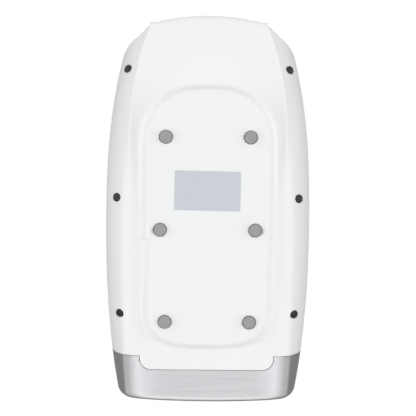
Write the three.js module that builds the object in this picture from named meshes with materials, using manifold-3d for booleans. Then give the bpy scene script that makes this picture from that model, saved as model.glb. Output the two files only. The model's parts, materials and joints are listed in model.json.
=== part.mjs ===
// A cordless air-pressure hand massager that lies on its rubber feet.
// Millimetres: X runs across, Y from the hand opening to the tail, Z up from the feet.
import * as THREE from "three";
import { mergeVertices } from "three/addons/utils/BufferGeometryUtils.js";
import Module from "manifold-3d";

const wasm = await Module();
wasm.setup();

// Shared fits
const clearance = 0.3;
const overrun = 6;
const weldDistance = 0.0001;
const wall = 2.6;
const seamGap = 0.4;

// Plan form of the housing
const bodyLength = 237;
const bodyWidth = 131;
const widestY = 8;
const mouthNarrowing = 16.8;
const tailNarrowing = 9.2;
const mouthPowerShare = 2.6;
const tailPowerShare = 2.18;
const endRadius = 5;

// Side form of the housing
const partingHeight = 34;
const limbHeight = 54;
const crownY = -10;
const mouthTopDrop = 24;
const tailTopDrop = 24;
const mouthDropPowerShare = 2.2;
const tailDropPowerShare = 2.6;
const roofPowerShare = 2.4;
const flankControlShare = 0.49;

// Sole and its two ridges
const platformRise = 7.5;
const ridgeInset = 16.5;
const mouthRidgeNarrowing = 16.5;
const tailRidgeNarrowing = 3;
const mouthRidgePowerShare = 3.45;
const tailRidgePowerShare = 2;
const crestHeight = 0.8;
const crestWidth = 3;
const creaseRise = 3.2;

// Hand opening
const lipReach = 5;
const lipInset = 13.8;
const lipRadius = 3;
const mouthLeanShare = 0.36;

// Raised platform that carries the feet
const channelWidth = 12.5;
const platformFrontInset = 46.7;
const platformRearInset = 36.9;
const platformFrontRun = 32.5;
const platformRearRun = 32.2;
const platformTaper = 3.7;
const platformFrontPowerShare = 2.45;
const platformRearPowerShare = 3.6;
const sideFlare = 7;
const frontFlare = 5;
const rearFlare = 4;
const reliefY = 19.5;
const reliefLength = 25;

// Rubber feet
const footDiameter = 8;
const footStand = 2;
const footSeat = 1;
const footEdge = 0.6;
const footAcrossShares = [0.704, 0.789, 0.699];
const footAlongShares = [-0.361, 0.113, 0.582];

// Housing screws
const screwHeadDiameter = 4.9;
const screwHeadHeight = 2.2;
const screwDiameter = 3;
const screwLength = 20;
const screwSeatDepth = 5.8;
const bossWall = 1.7;
const screwInset = 8.9;
const screwInsetShares = [0.85, 1, 1.05];
const screwAlongShares = [-0.7257, -0.0523, 0.5527];

// Tail cap
const tailCapLength = 27.9;
const tabInset = 8;
const tabReach = 8.4;
const tabRadius = 7;
const tongueWall = 1.5;
const tongueLength = 6;

// Battery
const batterySideRoom = 8.9;
const batteryFrontRoom = 21.2;
const batteryLength = 60;
const batteryThickness = 10;
const batteryRadius = 4;
const batteryRoom = 2.1;

// Frames and boards
const frameThickness = 2;
const frameSide = 14.5;
const frameFrontInset = 26.5;
const frameRearRoom = 3;
const frameRibHeight = 1.6;
const framePostRadius = 3;
const framePostAcrossShares = [0.82, 0.86, 0.82];
const framePostAlongShares = [-0.5, 0.08, 0.52];
const upperFrameInset = 25.5;
const upperFrameFrontInset = 66.5;
const upperFrameRearRoom = 3;
const frameCornerRadius = 10;
const hangerInset = 4;
const hangerEndInset = 10.5;
const boardThickness = 1.6;
const mainBoardHalfWidth = 22;
const mainBoardLength = 74;
const mainBoardShift = 9.5;
const boardPostHeight = 3.4;
const boardPostInset = 4;
const boardPostRadius = 2;
const chipSize = 12;
const chipHeight = 1.4;
const chipSpread = 18.5;
const boardCornerRadius = 3;
const ribbonRun = 7.6;
const ribbonWidth = 14;
const ribbonThickness = 0.6;
const ribbonShift = 9;
const ribbonBow = 2.4;
const keyBoardHalfWidth = 21;
const keyBoardHalfLength = 30;
const keyPostAcross = 17.5;
const keyPostAlong = 26;

// Air bags, palm plate and liner
const airbagThickness = 6;
const airbagBulge = 1.4;
const airbagMargin = 3;
const heatingPadThickness = 0.4;
const palmPlateInset = 32.5;
const palmPlateFrontInset = 56.5;
const palmPlateRearRoom = 12;
const palmPlateThickness = 3;
const palmPlateRadius = 14;
const nubHeight = 4;
const nubRadius = 5;
const nubSideMargin = 14;
const nubEndMargin = 17;
const nubRows = 5;
const nubColumns = 3;
const linerLift = 3.7;
const linerWall = 2;
const linerSide = 17;
const linerRadius = 10;
const linerRearRoom = 1.5;
const cavityHeight = 35;
const palmOpeningMargin = 3;
const upperBagInset = 7;
const palmBagInset = 6;
const bagSplitShare = 0.55;
const bagGap = 4;
const fingerBagInset = 4;

// Mouth ring
const ringSetback = 1.5;
const ringDepth = 8;
const ringRim = 2.4;
const funnelRadius = 26;

// Control panel and buttons
const panelLength = 62;
const panelWidth = 34;
const panelThickness = 2.1;
const panelSink = 0.3;
const ledgeWidth = 3;
const ledgeOverlap = 2;
const ledgeThickness = 2.2;
const buttonDiameter = 14;
const buttonPitch = 18.5;
const buttonStand = 0.6;
const buttonFlange = 1.5;
const buttonFlangeThickness = 1.2;
const buttonStemDiameter = 4;
const buttonStemLength = 2.4;
const buttonPlay = 0.5;
const buttonTravel = 0.8;
const buttonEdge = 0.5;
const switchSize = 6;
const switchHeight = 1.5;
const lightGuideLength = 10;
const lightGuideWidth = 1.8;
const lightGuideAcross = 11.5;

// Air pump, lying across the tail
const pumpInset = 20.5;
const cradleThickness = 2;
const saddleRise = 1.7;
const saddleWidth = 8;
const saddleSpanShare = 0.7;
const motorDiameter = 24;
const motorLength = 32;
const motorEndX = -2;
const motorBossDiameter = 9;
const motorBossLength = 1.4;
const pumpHeadDiameter = 26;
const pumpHeadLength = 24;
const pumpHeadWall = 2;
const pumpCoverThickness = 5;
const shaftDiameter = 3;
const shaftInset = 6;
const cranksetDiameter = 11;
const cranksetThickness = 7;
const cranksetOffset = 3;
const cranksetX = 8;
const nippleDiameter = 4;
const nippleLength = 4;
const outletRise = 6;

// Valve shelf, valves and manifold
const webThickness = 2;
const webRoom = 2.5;
const shelfRise = 3;
const shelfDepth = 18;
const shelfHalfWidth = 33;
const valveWidth = 13;
const valveDepth = 12;
const valveHeight = 17;
const valveYoke = 1.2;
const coilDiameter = 11.4;
const plungerDiameter = 4;
const plungerCapDiameter = 7;
const plungerCapHeight = 1;
const plungerStroke = 1.2;
const plungerDepth = 12;
const valveFirstX = -24;
const valvePitch = 17;
const valveRoom = 3.5;
const manifoldLength = 22;
const manifoldWidth = 12;
const manifoldHeight = 8;
const manifoldX = 20;
const portRise = 4;
const portPitch = 6;

// Hoses
const hoseDiameter = 4;
const hoseSides = 8;
const hoseSteps = 8;
const hoseStubShare = 0.7;
const hoseTurnShare = 1.5;
const hoseSwingShare = 2.6;

// Charging socket
const socketWidth = 9;
const socketHeight = 3.2;
const socketLength = 7.4;
const socketWall = 0.35;
const socketTongue = 0.7;
const socketRise = 55.5;
const chargeBoardWidth = 17;
const chargeBoardLength = 8.6;
const chargeBoardThickness = 1.2;
const chargeLedge = 2;

// Heights that follow from what is stacked in the housing
const faceHeight = footStand;
const soleHeight = faceHeight + platformRise;
const batteryBase = faceHeight + wall + clearance;
const lowerFrameBase = batteryBase + batteryThickness + batteryRoom;
const lowerFrameTop = lowerFrameBase + frameThickness;
const lowerBagBase = lowerFrameTop + clearance;
const heatingPadBase = lowerBagBase + airbagThickness + clearance;
const palmPlateBase = heatingPadBase + heatingPadThickness + clearance;
const palmPlateTop = palmPlateBase + palmPlateThickness;
const linerBase = palmPlateTop + linerLift;
const cavityFloor = linerBase + linerWall;
const cavityRoof = cavityFloor + cavityHeight;
const linerTop = cavityRoof + linerWall;
const upperBagBase = linerTop + clearance;
const upperFrameBase = upperBagBase + airbagThickness + clearance;
const upperFrameTop = upperFrameBase + frameThickness;
const mainBoardBase = upperFrameTop + boardPostHeight + clearance;
const mainBoardTop = mainBoardBase + boardThickness;
const keyBoardBase = mainBoardTop + ribbonRun;
const keyBoardTop = keyBoardBase + boardThickness;
const stemBase = keyBoardTop + switchHeight + buttonTravel + clearance;
const flangeBase = stemBase + buttonStemLength;
const flangeTop = flangeBase + buttonFlangeThickness;
const panelBase = flangeTop + clearance;
const panelTop = panelBase + panelThickness;
const crownHeight = panelTop + panelSink;

// Places that follow from the size of the housing
const halfLength = bodyLength / 2;
const halfWidth = bodyWidth / 2;
const seamY = halfLength - tailCapLength;
const ridgeHalfWidth = halfWidth - ridgeInset;
const lipHalfWidth = ridgeHalfWidth - lipInset;
const tabHalfWidth = ridgeHalfWidth - tabInset;
const platformHalfWidth = ridgeHalfWidth - channelWidth;
const platformFront = halfLength - platformFrontInset;
const platformRear = halfLength - platformRearInset;
const platformShoulderY = platformFrontRun - platformFront;
const platformHeelY = platformRear - platformRearRun;
const pumpY = halfLength - pumpInset;
const webY = pumpY - pumpHeadDiameter / 2 - webRoom;
const valveY = webY + webThickness / 2 + valveRoom + valveDepth / 2 - clearance;
const frameFrontY = frameFrontInset - halfLength;
const frameRearY = pumpY + pumpHeadDiameter / 2 - frameRearRoom;
const linerRearY = webY - webThickness / 2 - linerRearRoom;
const palmPlateHalfWidth = halfWidth - palmPlateInset;
const palmPlateFrontY = palmPlateFrontInset - halfLength;
const palmPlateRearY = linerRearY - palmPlateRearRoom;
const upperFrameHalfWidth = halfWidth - upperFrameInset;
const upperFrameFrontY = upperFrameFrontInset - halfLength;
const upperFrameRearY = linerRearY - upperFrameRearRoom;
const hangerAcross = upperFrameHalfWidth - hangerInset;
const hangerFrontY = upperFrameFrontY + hangerEndInset;
const hangerRearY = upperFrameRearY - hangerEndInset;
const upperBagHalfWidth = upperFrameHalfWidth - upperBagInset;
const palmBagFrontY = upperFrameFrontY + palmBagInset;
const fingerBagRearY = upperFrameRearY - fingerBagInset;
const bagSplitY = THREE.MathUtils.lerp(palmBagFrontY, fingerBagRearY, bagSplitShare);
const mainBoardY = (upperFrameFrontY + upperFrameRearY) / 2 - mainBoardShift;
const mainBoardFrontY = mainBoardY - mainBoardLength / 2;
const mainBoardRearY = mainBoardY + mainBoardLength / 2;
const batteryHalfWidth = platformHalfWidth - wall - batterySideRoom;
const batteryFrontY = batteryFrontRoom + wall - platformFront;

// Screw seats, pump and valve shelf
const screwSeat = partingHeight - screwSeatDepth;
const cradleBase = lowerFrameTop + clearance;
const cradleTop = cradleBase + cradleThickness;
const pumpHeight = cradleTop + saddleRise + pumpHeadDiameter / 2;
const shelfBase = pumpHeight + pumpHeadDiameter / 2 + shelfRise;
const shelfTop = shelfBase + cradleThickness;

// Finishes
const finishes = {
  whitePlastic: { color: 0xf1f2f4, roughness: 0.42, metalness: 0 },
  silver: { color: 0xc3c5ca, roughness: 0.3, metalness: 0.9 },
  greyRubber: { color: 0x8d9092, roughness: 0.85, metalness: 0 },
  darkSteel: { color: 0x55585c, roughness: 0.4, metalness: 0.9 },
  greyPlastic: { color: 0xb9bdc2, roughness: 0.5, metalness: 0 },
  panelPlastic: { color: 0xd9dce1, roughness: 0.2, metalness: 0 },
  buttonPlastic: { color: 0xe8eaed, roughness: 0.3, metalness: 0 },
  lightPlastic: { color: 0xcfe6f5, roughness: 0.2, metalness: 0 },
  linerFabric: { color: 0x6b6f76, roughness: 0.95, metalness: 0 },
  airbagFilm: { color: 0xd6d3c9, roughness: 0.6, metalness: 0 },
  batteryWrap: { color: 0x3f6fae, roughness: 0.5, metalness: 0 },
  boardGreen: { color: 0x2f6b46, roughness: 0.6, metalness: 0 },
  heatingFilm: { color: 0xb9793a, roughness: 0.5, metalness: 0 },
  motorSteel: { color: 0xa9acb1, roughness: 0.35, metalness: 0.9 },
  blackPlastic: { color: 0x2c2e31, roughness: 0.5, metalness: 0 },
  hoseRubber: { color: 0xdedbd2, roughness: 0.7, metalness: 0 },
};

const massager = new THREE.Group();

// Turns a closed geometry into a solid whose faces point outwards.
function solid(geometry) {
  const plain = geometry.clone();
  plain.deleteAttribute("normal");
  plain.deleteAttribute("uv");
  const merged = mergeVertices(plain, weldDistance);
  const vertProperties = new Float32Array(merged.attributes.position.array);
  const triVerts = new Uint32Array(merged.index.array);
  if (signedVolume(vertProperties, triVerts) < 0) {
    triVerts.reverse();
  }
  return new wasm.Manifold(new wasm.Mesh({ numProp: 3, vertProperties, triVerts }));
}

function signedVolume(positions, corners) {
  const a = new THREE.Vector3();
  const b = new THREE.Vector3();
  const c = new THREE.Vector3();
  let sum = 0;
  for (let i = 0; i < corners.length; i += 3) {
    a.fromArray(positions, corners[i] * 3);
    b.fromArray(positions, corners[i + 1] * 3);
    c.fromArray(positions, corners[i + 2] * 3);
    sum += a.dot(b.cross(c));
  }
  return sum;
}

function geometryOf(body) {
  const mesh = body.getMesh();
  const geometry = new THREE.BufferGeometry();
  geometry.setAttribute("position", new THREE.BufferAttribute(mesh.vertProperties, mesh.numProp));
  geometry.setIndex(new THREE.BufferAttribute(mesh.triVerts, 1));
  geometry.computeVertexNormals();
  return geometry;
}

function place(name, body, finish) {
  const mesh = new THREE.Mesh(geometryOf(body), new THREE.MeshStandardMaterial(finishes[finish]));
  mesh.name = name;
  massager.add(mesh);
}

function joined(bodies) {
  return bodies.reduce((whole, body) => whole.add(body));
}

function mirrored(body) {
  return body.mirror([1, 0, 0]);
}

function block(lowX, highX, lowY, highY, lowZ, highZ) {
  const box = new THREE.BoxGeometry(highX - lowX, highY - lowY, highZ - lowZ);
  box.translate((lowX + highX) / 2, (lowY + highY) / 2, (lowZ + highZ) / 2);
  return solid(box);
}

// A round rod that stands along Z.
function rod(x, y, radius, lowZ, highZ, sides = 14) {
  const cylinder = new THREE.CylinderGeometry(radius, radius, highZ - lowZ, sides);
  cylinder.rotateX(Math.PI / 2);
  cylinder.translate(x, y, (lowZ + highZ) / 2);
  return solid(cylinder);
}

// A round rod that lies along X.
function crossRod(y, z, radius, lowX, highX, sides = 16) {
  const cylinder = new THREE.CylinderGeometry(radius, radius, highX - lowX, sides);
  cylinder.rotateZ(Math.PI / 2);
  cylinder.translate((lowX + highX) / 2, y, z);
  return solid(cylinder);
}

// A round rod that lies along Y.
function longRod(x, z, radius, lowY, highY, sides = 8) {
  const cylinder = new THREE.CylinderGeometry(radius, radius, highY - lowY, sides);
  cylinder.translate(x, (lowY + highY) / 2, z);
  return solid(cylinder);
}

function prism(shape, lowZ, highZ, turns = 2) {
  const options = { depth: highZ - lowZ, bevelEnabled: false, curveSegments: turns };
  const extruded = new THREE.ExtrudeGeometry(shape, options);
  extruded.translate(0, 0, lowZ);
  return solid(extruded);
}

function roundedRectangle(lowX, highX, lowY, highY, radius) {
  const shape = new THREE.Shape();
  shape.absarc(highX - radius, highY - radius, radius, 0, Math.PI / 2, false);
  shape.absarc(lowX + radius, highY - radius, radius, Math.PI / 2, Math.PI, false);
  shape.absarc(lowX + radius, lowY + radius, radius, Math.PI, Math.PI * 1.5, false);
  shape.absarc(highX - radius, lowY + radius, radius, Math.PI * 1.5, Math.PI * 2, false);
  return shape;
}

// A closed body through rings of as many points each, capped flat at both ends.
function loft(rings) {
  const count = rings[0].length;
  const points = rings.flat();
  const corners = [];
  for (let ring = 0; ring + 1 < rings.length; ring += 1) {
    for (let i = 0; i < count; i += 1) {
      const next = (i + 1) % count;
      const low = ring * count;
      const high = low + count;
      corners.push(low + i, low + next, high + next, low + i, high + next, high + i);
    }
  }
  const lastRing = (rings.length - 1) * count;
  for (const [start, turned] of [[0, true], [lastRing, false]]) {
    const middle = points.length;
    const ring = points.slice(start, start + count);
    points.push(ring.reduce((sum, p) => sum.add(p), new THREE.Vector3()).divideScalar(count));
    for (let i = 0; i < count; i += 1) {
      const ends = [start + i, start + ((i + 1) % count)];
      corners.push(middle, ...(turned ? ends.reverse() : ends));
    }
  }
  const geometry = new THREE.BufferGeometry().setFromPoints(points);
  geometry.setIndex(corners);
  return solid(geometry);
}

// Half-width of the widest line of the housing.
function limbHalfWidth(y) {
  const mouthward = y < widestY;
  const run = mouthward ? halfLength + widestY : halfLength - widestY;
  const narrowing = mouthward ? mouthNarrowing : tailNarrowing;
  const power = mouthward ? mouthPowerShare : tailPowerShare;
  return halfWidth - narrowing * (Math.abs(y - widestY) / run) ** power;
}

function roofHeight(y) {
  const mouthward = y < crownY;
  const run = mouthward ? halfLength + crownY : halfLength - crownY;
  const drop = mouthward ? mouthTopDrop : tailTopDrop;
  const power = mouthward ? mouthDropPowerShare : tailDropPowerShare;
  return crownHeight - drop * (Math.abs(y - crownY) / run) ** power;
}

function ridgeHalf(y) {
  const narrowing = y < 0 ? mouthRidgeNarrowing : tailRidgeNarrowing;
  const power = y < 0 ? mouthRidgePowerShare : tailRidgePowerShare;
  return ridgeHalfWidth - narrowing * (Math.abs(y) / halfLength) ** power;
}

// Right half of the cross-section at y, from the middle of the sole to the middle of the roof.
const soleShares = [0, 0.5];
const flankSteps = 4;
const roofSteps = 7;
function halfSection(y, crest) {
  const limb = limbHalfWidth(y);
  const ridge = ridgeHalf(y);
  const rise = roofHeight(y) - limbHeight;
  const points = soleShares.map((share) => new THREE.Vector2(ridge * share, soleHeight));
  points.push(new THREE.Vector2(ridge - crestWidth, soleHeight));
  points.push(new THREE.Vector2(ridge, soleHeight - crest));
  const foot = new THREE.Vector2(ridge + crestWidth, soleHeight + creaseRise);
  const control = new THREE.Vector2(limb, foot.y + (limbHeight - foot.y) * flankControlShare);
  const flank = new THREE.QuadraticBezierCurve(foot, control, new THREE.Vector2(limb, limbHeight));
  points.push(...flank.getPoints(flankSteps));
  for (let step = 1; step <= roofSteps; step += 1) {
    const angle = ((step / roofSteps) * Math.PI) / 2;
    const across = step < roofSteps ? Math.cos(angle) ** (2 / roofPowerShare) : 0;
    const up = Math.sin(angle) ** (2 / roofPowerShare);
    points.push(new THREE.Vector2(limb * across, limbHeight + rise * up));
  }
  return points;
}

function sectionRing(y, inset, crest) {
  const right = halfSection(y, crest);
  const left = right.slice(1, -1).reverse().map((point) => new THREE.Vector2(-point.x, point.y));
  const outline = right.concat(left);
  return outline.map((point, i) => {
    const before = outline[(i + outline.length - 1) % outline.length];
    const after = outline[(i + 1) % outline.length];
    const along = after.clone().sub(before).normalize();
    return new THREE.Vector3(point.x - along.y * inset, y, point.y + along.x * inset);
  });
}

// The filled housing, drawn in on all sides by an inset and rounded off at the tail.
const stationShares = [-1.06, -0.96, -0.84, -0.68, -0.48, -0.26, -0.08, 0.1, 0.34, 0.56, 0.72, 0.87];
const endTurnShares = [0, 0.4, 0.75, 1];
function housingForm(inset, crest) {
  const rings = stationShares.map((share) => sectionRing(share * halfLength, inset, crest));
  const radius = Math.max(endRadius - inset, clearance);
  for (const share of endTurnShares) {
    const angle = (share * Math.PI) / 2;
    const y = halfLength - inset - radius * (1 - Math.sin(angle));
    rings.push(sectionRing(y, inset + radius * (1 - Math.cos(angle)), crest));
  }
  return loft(rings);
}

// Everything in front of the hand opening, whose edge leans back and whose lower lip is an arc.
const lipShares = [0, 0.25, 0.5, 0.75, 0.9, 1];
const lipTurns = 3;
function mouthSpace(setback) {
  const edges = lipShares.slice(1).reverse().map((share) => -share * lipHalfWidth);
  const across = [-bodyWidth, ...edges, ...lipShares.map((share) => share * lipHalfWidth), bodyWidth];
  const high = crownHeight + overrun;
  const rings = across.map((x) => {
    const share = Math.min(Math.abs(x) / lipHalfWidth, 1);
    const edgeY = -halfLength + lipReach * share * share + setback;
    const outline = [[-bodyLength, -overrun], [edgeY + lipRadius, -overrun]];
    for (let turn = 0; turn <= lipTurns; turn += 1) {
      const angle = ((turn / lipTurns) * Math.PI) / 2;
      const rounding = lipRadius * (1 - Math.sin(angle));
      outline.push([edgeY + rounding, soleHeight + lipRadius * (1 - Math.cos(angle))]);
    }
    const leanRun = high - soleHeight - lipRadius;
    outline.push([edgeY + leanRun * mouthLeanShare, high]);
    outline.push([-bodyLength, high]);
    return outline.map(([y, z]) => new THREE.Vector3(x, y, z));
  });
  return loft(rings);
}

// Where the edge of the hand opening lies at a height, away from the lip.
function mouthY(z, setback) {
  return -halfLength + lipReach + setback + (z - soleHeight - lipRadius) * mouthLeanShare;
}

// Everything behind the seam of the tail cap, with the tab of the lower shell left out of it.
function tailSpace(offset) {
  const behind = block(-bodyWidth, bodyWidth, seamY + offset, bodyLength, -overrun, crownHeight + overrun);
  const half = tabHalfWidth + offset;
  const tab = roundedRectangle(-half, half, 0, seamY + tabReach + offset, tabRadius);
  return behind.subtract(prism(tab, -overrun, partingHeight));
}

function platformHalf(y) {
  const share = Math.max((y - platformShoulderY) / (platformRear - platformShoulderY), 0);
  return platformHalfWidth - platformTaper * share * share;
}

// Outline of the platform, let out by side, front and rear amounts.
const platformTurns = 6;
const platformSideShares = [0.25, 0.5, 0.75];
function platformOutline(side, front, rear) {
  const halfAt = (y) => platformHalf(y) + side;
  const right = [];
  for (let turn = 0; turn <= platformTurns; turn += 1) {
    const angle = ((1 - turn / platformTurns) * Math.PI) / 2;
    const across = turn > 0 ? Math.cos(angle) ** (2 / platformFrontPowerShare) : 0;
    const along = Math.sin(angle) ** (2 / platformFrontPowerShare);
    const y = platformShoulderY - (platformFrontRun + front) * along;
    right.push(new THREE.Vector2(halfAt(platformShoulderY) * across, y));
  }
  for (const share of platformSideShares) {
    const y = THREE.MathUtils.lerp(platformShoulderY, platformHeelY, share);
    right.push(new THREE.Vector2(halfAt(y), y));
  }
  for (let turn = 0; turn <= platformTurns; turn += 1) {
    const angle = ((turn / platformTurns) * Math.PI) / 2;
    const across = turn < platformTurns ? Math.cos(angle) ** (2 / platformRearPowerShare) : 0;
    const y = platformHeelY + (platformRearRun + rear) * Math.sin(angle) ** (2 / platformRearPowerShare);
    right.push(new THREE.Vector2(halfAt(y) * across, y));
  }
  const left = right.slice(1, -1).reverse().map((point) => new THREE.Vector2(-point.x, point.y));
  return right.concat(left);
}

function platformRing(flareShare, z) {
  const outline = platformOutline(sideFlare * flareShare, frontFlare * flareShare, rearFlare * flareShare);
  return outline.map((point) => new THREE.Vector3(point.x, point.y, z));
}

// Height and flare of the platform's side, from its face to the sole.
const platformSideProfileShares = [[0, 0], [0.06, 0.1], [0.24, 0.22], [0.56, 0.46], [0.83, 0.72], [1, 1]];
function platformForm() {
  const rings = platformSideProfileShares.map(([up, out]) => (
    platformRing(out, faceHeight + platformRise * up)
  ));
  rings.push(platformRing(1, soleHeight + wall / 2));
  return loft(rings);
}

function platformHollow() {
  const outline = platformOutline(-wall, -wall, -wall);
  return prism(new THREE.Shape(outline), faceHeight + wall, soleHeight + wall * 2);
}

// A relief in the left side of the platform: a step at its front, fading out behind.
const reliefProfileShares = [[0, 0], [0.3, 0.05], [0.62, 0.16], [0.86, 0.4], [0.97, 0.7], [1, 1]];
function sideRelief() {
  const stops = [
    [reliefY, reliefProfileShares, 0],
    [reliefY + reliefLength, platformSideProfileShares, clearance],
  ];
  const rings = stops.map(([y, profileShares, lift]) => {
    const half = platformHalf(y);
    const profile = profileShares.map(([up, out]) => (
      new THREE.Vector3(-half - sideFlare * out - lift, y, faceHeight + platformRise * up - lift)
    ));
    return [...profile, new THREE.Vector3(-half - sideFlare - lift, y, -overrun),
      new THREE.Vector3(-half - lift, y, -overrun)];
  });
  return loft(rings);
}

const sides = [["left", -1], ["right", 1]];

function screwPlaces() {
  return sides.flatMap(([, side]) => screwAlongShares.map((share, i) => {
    const y = share * halfLength;
    return { x: side * (limbHalfWidth(y) - screwInset * screwInsetShares[i]), y };
  }));
}

function footPlaces() {
  return sides.flatMap(([, side]) => footAlongShares.map((share, i) => (
    { x: side * footAcrossShares[i] * platformHalfWidth, y: share * halfLength }
  )));
}

// A rib that ties a screw boss to the side wall.
function bossRib(x, y, low, high) {
  const outside = Math.sign(x) * halfWidth;
  return block(Math.min(x, outside), Math.max(x, outside), y - bossWall / 2, y + bossWall / 2, low, high);
}

const outerForm = housingForm(0, crestHeight);
const innerForm = housingForm(wall, 0);
const anchorForm = housingForm(wall / 2, 0);
const shellWall = outerForm.subtract(innerForm).subtract(mouthSpace(0));
const recessRadius = screwHeadDiameter / 2 + clearance;
const bossRadius = recessRadius + bossWall;
const shankHoleRadius = screwDiameter / 2 + clearance;

function lowerShell() {
  const below = block(-bodyWidth, bodyWidth, -bodyLength, bodyLength, -overrun, partingHeight - seamGap / 2);
  const posts = sides.flatMap(([, side]) => framePostAlongShares.map((share, i) => {
    const x = side * framePostAcrossShares[i] * ridgeHalfWidth;
    return rod(x, share * halfLength, framePostRadius, soleHeight + wall / 2, lowerFrameBase - clearance, 12);
  }));
  const bosses = screwPlaces().map(({ x, y }) => (
    rod(x, y, bossRadius, soleHeight, partingHeight + overrun, 12).intersect(anchorForm)
  ));
  const filled = joined([shellWall, platformForm(), ...posts, ...bosses]);
  const shell = filled.subtract(platformHollow()).intersect(below).subtract(tailSpace(-seamGap / 2));
  const cuts = screwPlaces().flatMap(({ x, y }) => [
    rod(x, y, recessRadius, -overrun, screwSeat),
    rod(x, y, shankHoleRadius, -overrun, partingHeight + overrun, 8),
  ]);
  const pockets = footPlaces().map(({ x, y }) => (
    rod(x, y, footDiameter / 2 + clearance, -overrun, faceHeight + footSeat + clearance)
  ));
  return shell.subtract(joined([...cuts, ...pockets, sideRelief()]));
}

// Plan shape of the control panel, let out by a margin.
const panelTurns = 4;
function panelShape(margin) {
  const half = panelWidth / 2 + margin;
  const reach = panelLength / 2 + margin;
  return roundedRectangle(-half, half, crownY - reach, crownY + reach, half);
}

function upperShell() {
  const high = crownHeight + overrun;
  const above = block(-bodyWidth, bodyWidth, -bodyLength, bodyLength, partingHeight + seamGap / 2, high);
  const bosses = screwPlaces().map(({ x, y }) => (
    rod(x, y, bossRadius, partingHeight, high, 12)
      .add(bossRib(x, y, partingHeight, high))
      .intersect(anchorForm)
      .subtract(rod(x, y, shankHoleRadius, 0, screwSeat + screwLength + clearance, 8))
  ));
  const hangers = sides.flatMap(([, side]) => [hangerFrontY, hangerRearY].map((y) => (
    rod(side * hangerAcross, y, framePostRadius, upperFrameTop + clearance, high, 10).intersect(anchorForm)
  )));
  const keyPosts = sides.flatMap(([, side]) => [-keyPostAlong, keyPostAlong].map((along) => (
    rod(side * keyPostAcross, crownY + along, boardPostRadius, keyBoardTop + clearance, high, 8)
      .intersect(anchorForm)
  )));
  const sunk = panelSink + panelThickness + clearance;
  const ledge = outerForm.subtract(housingForm(sunk + ledgeThickness, 0))
    .intersect(prism(panelShape(ledgeWidth), limbHeight, high, panelTurns));
  const pocket = prism(panelShape(clearance), limbHeight, high, panelTurns).subtract(housingForm(sunk, 0));
  const window = prism(panelShape(-ledgeOverlap), limbHeight, high, panelTurns);
  return joined([shellWall, ...bosses, ...hangers, ...keyPosts, ledge])
    .intersect(above)
    .subtract(tailSpace(-seamGap / 2))
    .subtract(pocket)
    .subtract(window);
}

function tailCap() {
  const collarInset = wall + clearance + tongueWall;
  const collarEnd = seamY + tabReach + tongueLength;
  const inside = housingForm(collarInset, 0);
  const behind = tailSpace(seamGap / 2);
  const cup = outerForm.subtract(innerForm).intersect(behind);
  const high = crownHeight + overrun;
  const slice = block(-bodyWidth, bodyWidth, seamY - tongueLength, collarEnd, -overrun, high);
  const tongue = housingForm(wall + clearance, 0).subtract(inside).intersect(slice);
  const collar = anchorForm.subtract(inside).intersect(slice).intersect(behind);
  const ledges = sides.map(([, side]) => {
    const edge = chargeBoardWidth / 2;
    const [lowX, highX] = [edge - chargeLedge, edge + chargeLedge].map((x) => x * side).sort((a, b) => a - b);
    const frontY = halfLength - wall - chargeBoardLength;
    const top = socketRise - chargeBoardThickness - clearance;
    return block(lowX, highX, frontY, halfLength - wall / 2, top - chargeLedge, top);
  });
  const half = socketWidth / 2 + clearance;
  const slot = roundedRectangle(-half, half, -clearance, socketHeight + clearance, socketHeight / 2);
  const hole = new THREE.ExtrudeGeometry(slot, { depth: wall * 2, bevelEnabled: false, curveSegments: 4 });
  hole.rotateX(Math.PI / 2);
  hole.translate(0, halfLength + wall / 2, socketRise);
  return joined([cup, tongue, collar, ...ledges]).subtract(solid(hole));
}

// A ring with rounded corners across the hand space, at a distance behind the edge of the mouth.
const cornerTurns = 2;
function spaceRing(half, low, high, radius, yAt) {
  const shape = roundedRectangle(-half, half, low, high, radius);
  const points = shape.extractPoints(cornerTurns).shape;
  return points.map((point) => new THREE.Vector3(point.x, yAt(point.y), point.y));
}

function linerHalf(y) {
  return limbHalfWidth(y) - linerSide;
}

const linerStationShares = [-1, -0.75, -0.45, -0.1, 0.3];
function linerForm(inset, rearY) {
  const rings = linerStationShares.map((share) => share * halfLength).concat([rearY - inset]).map((y) => (
    spaceRing(linerHalf(y) - inset, linerBase + inset, linerTop - inset, linerRadius - inset, () => y)
  ));
  return loft(rings);
}

function handLiner() {
  const half = palmPlateHalfWidth + palmOpeningMargin;
  const frontY = palmPlateFrontY - palmOpeningMargin;
  const rearY = palmPlateRearY + palmOpeningMargin;
  const floor = roundedRectangle(-half, half, frontY, rearY, palmPlateRadius + palmOpeningMargin);
  return linerForm(0, linerRearY)
    .subtract(linerForm(linerWall, linerRearY))
    .subtract(prism(floor, linerBase - overrun, cavityFloor + linerWall))
    .subtract(mouthSpace(ringSetback + ringDepth + clearance));
}

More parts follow.
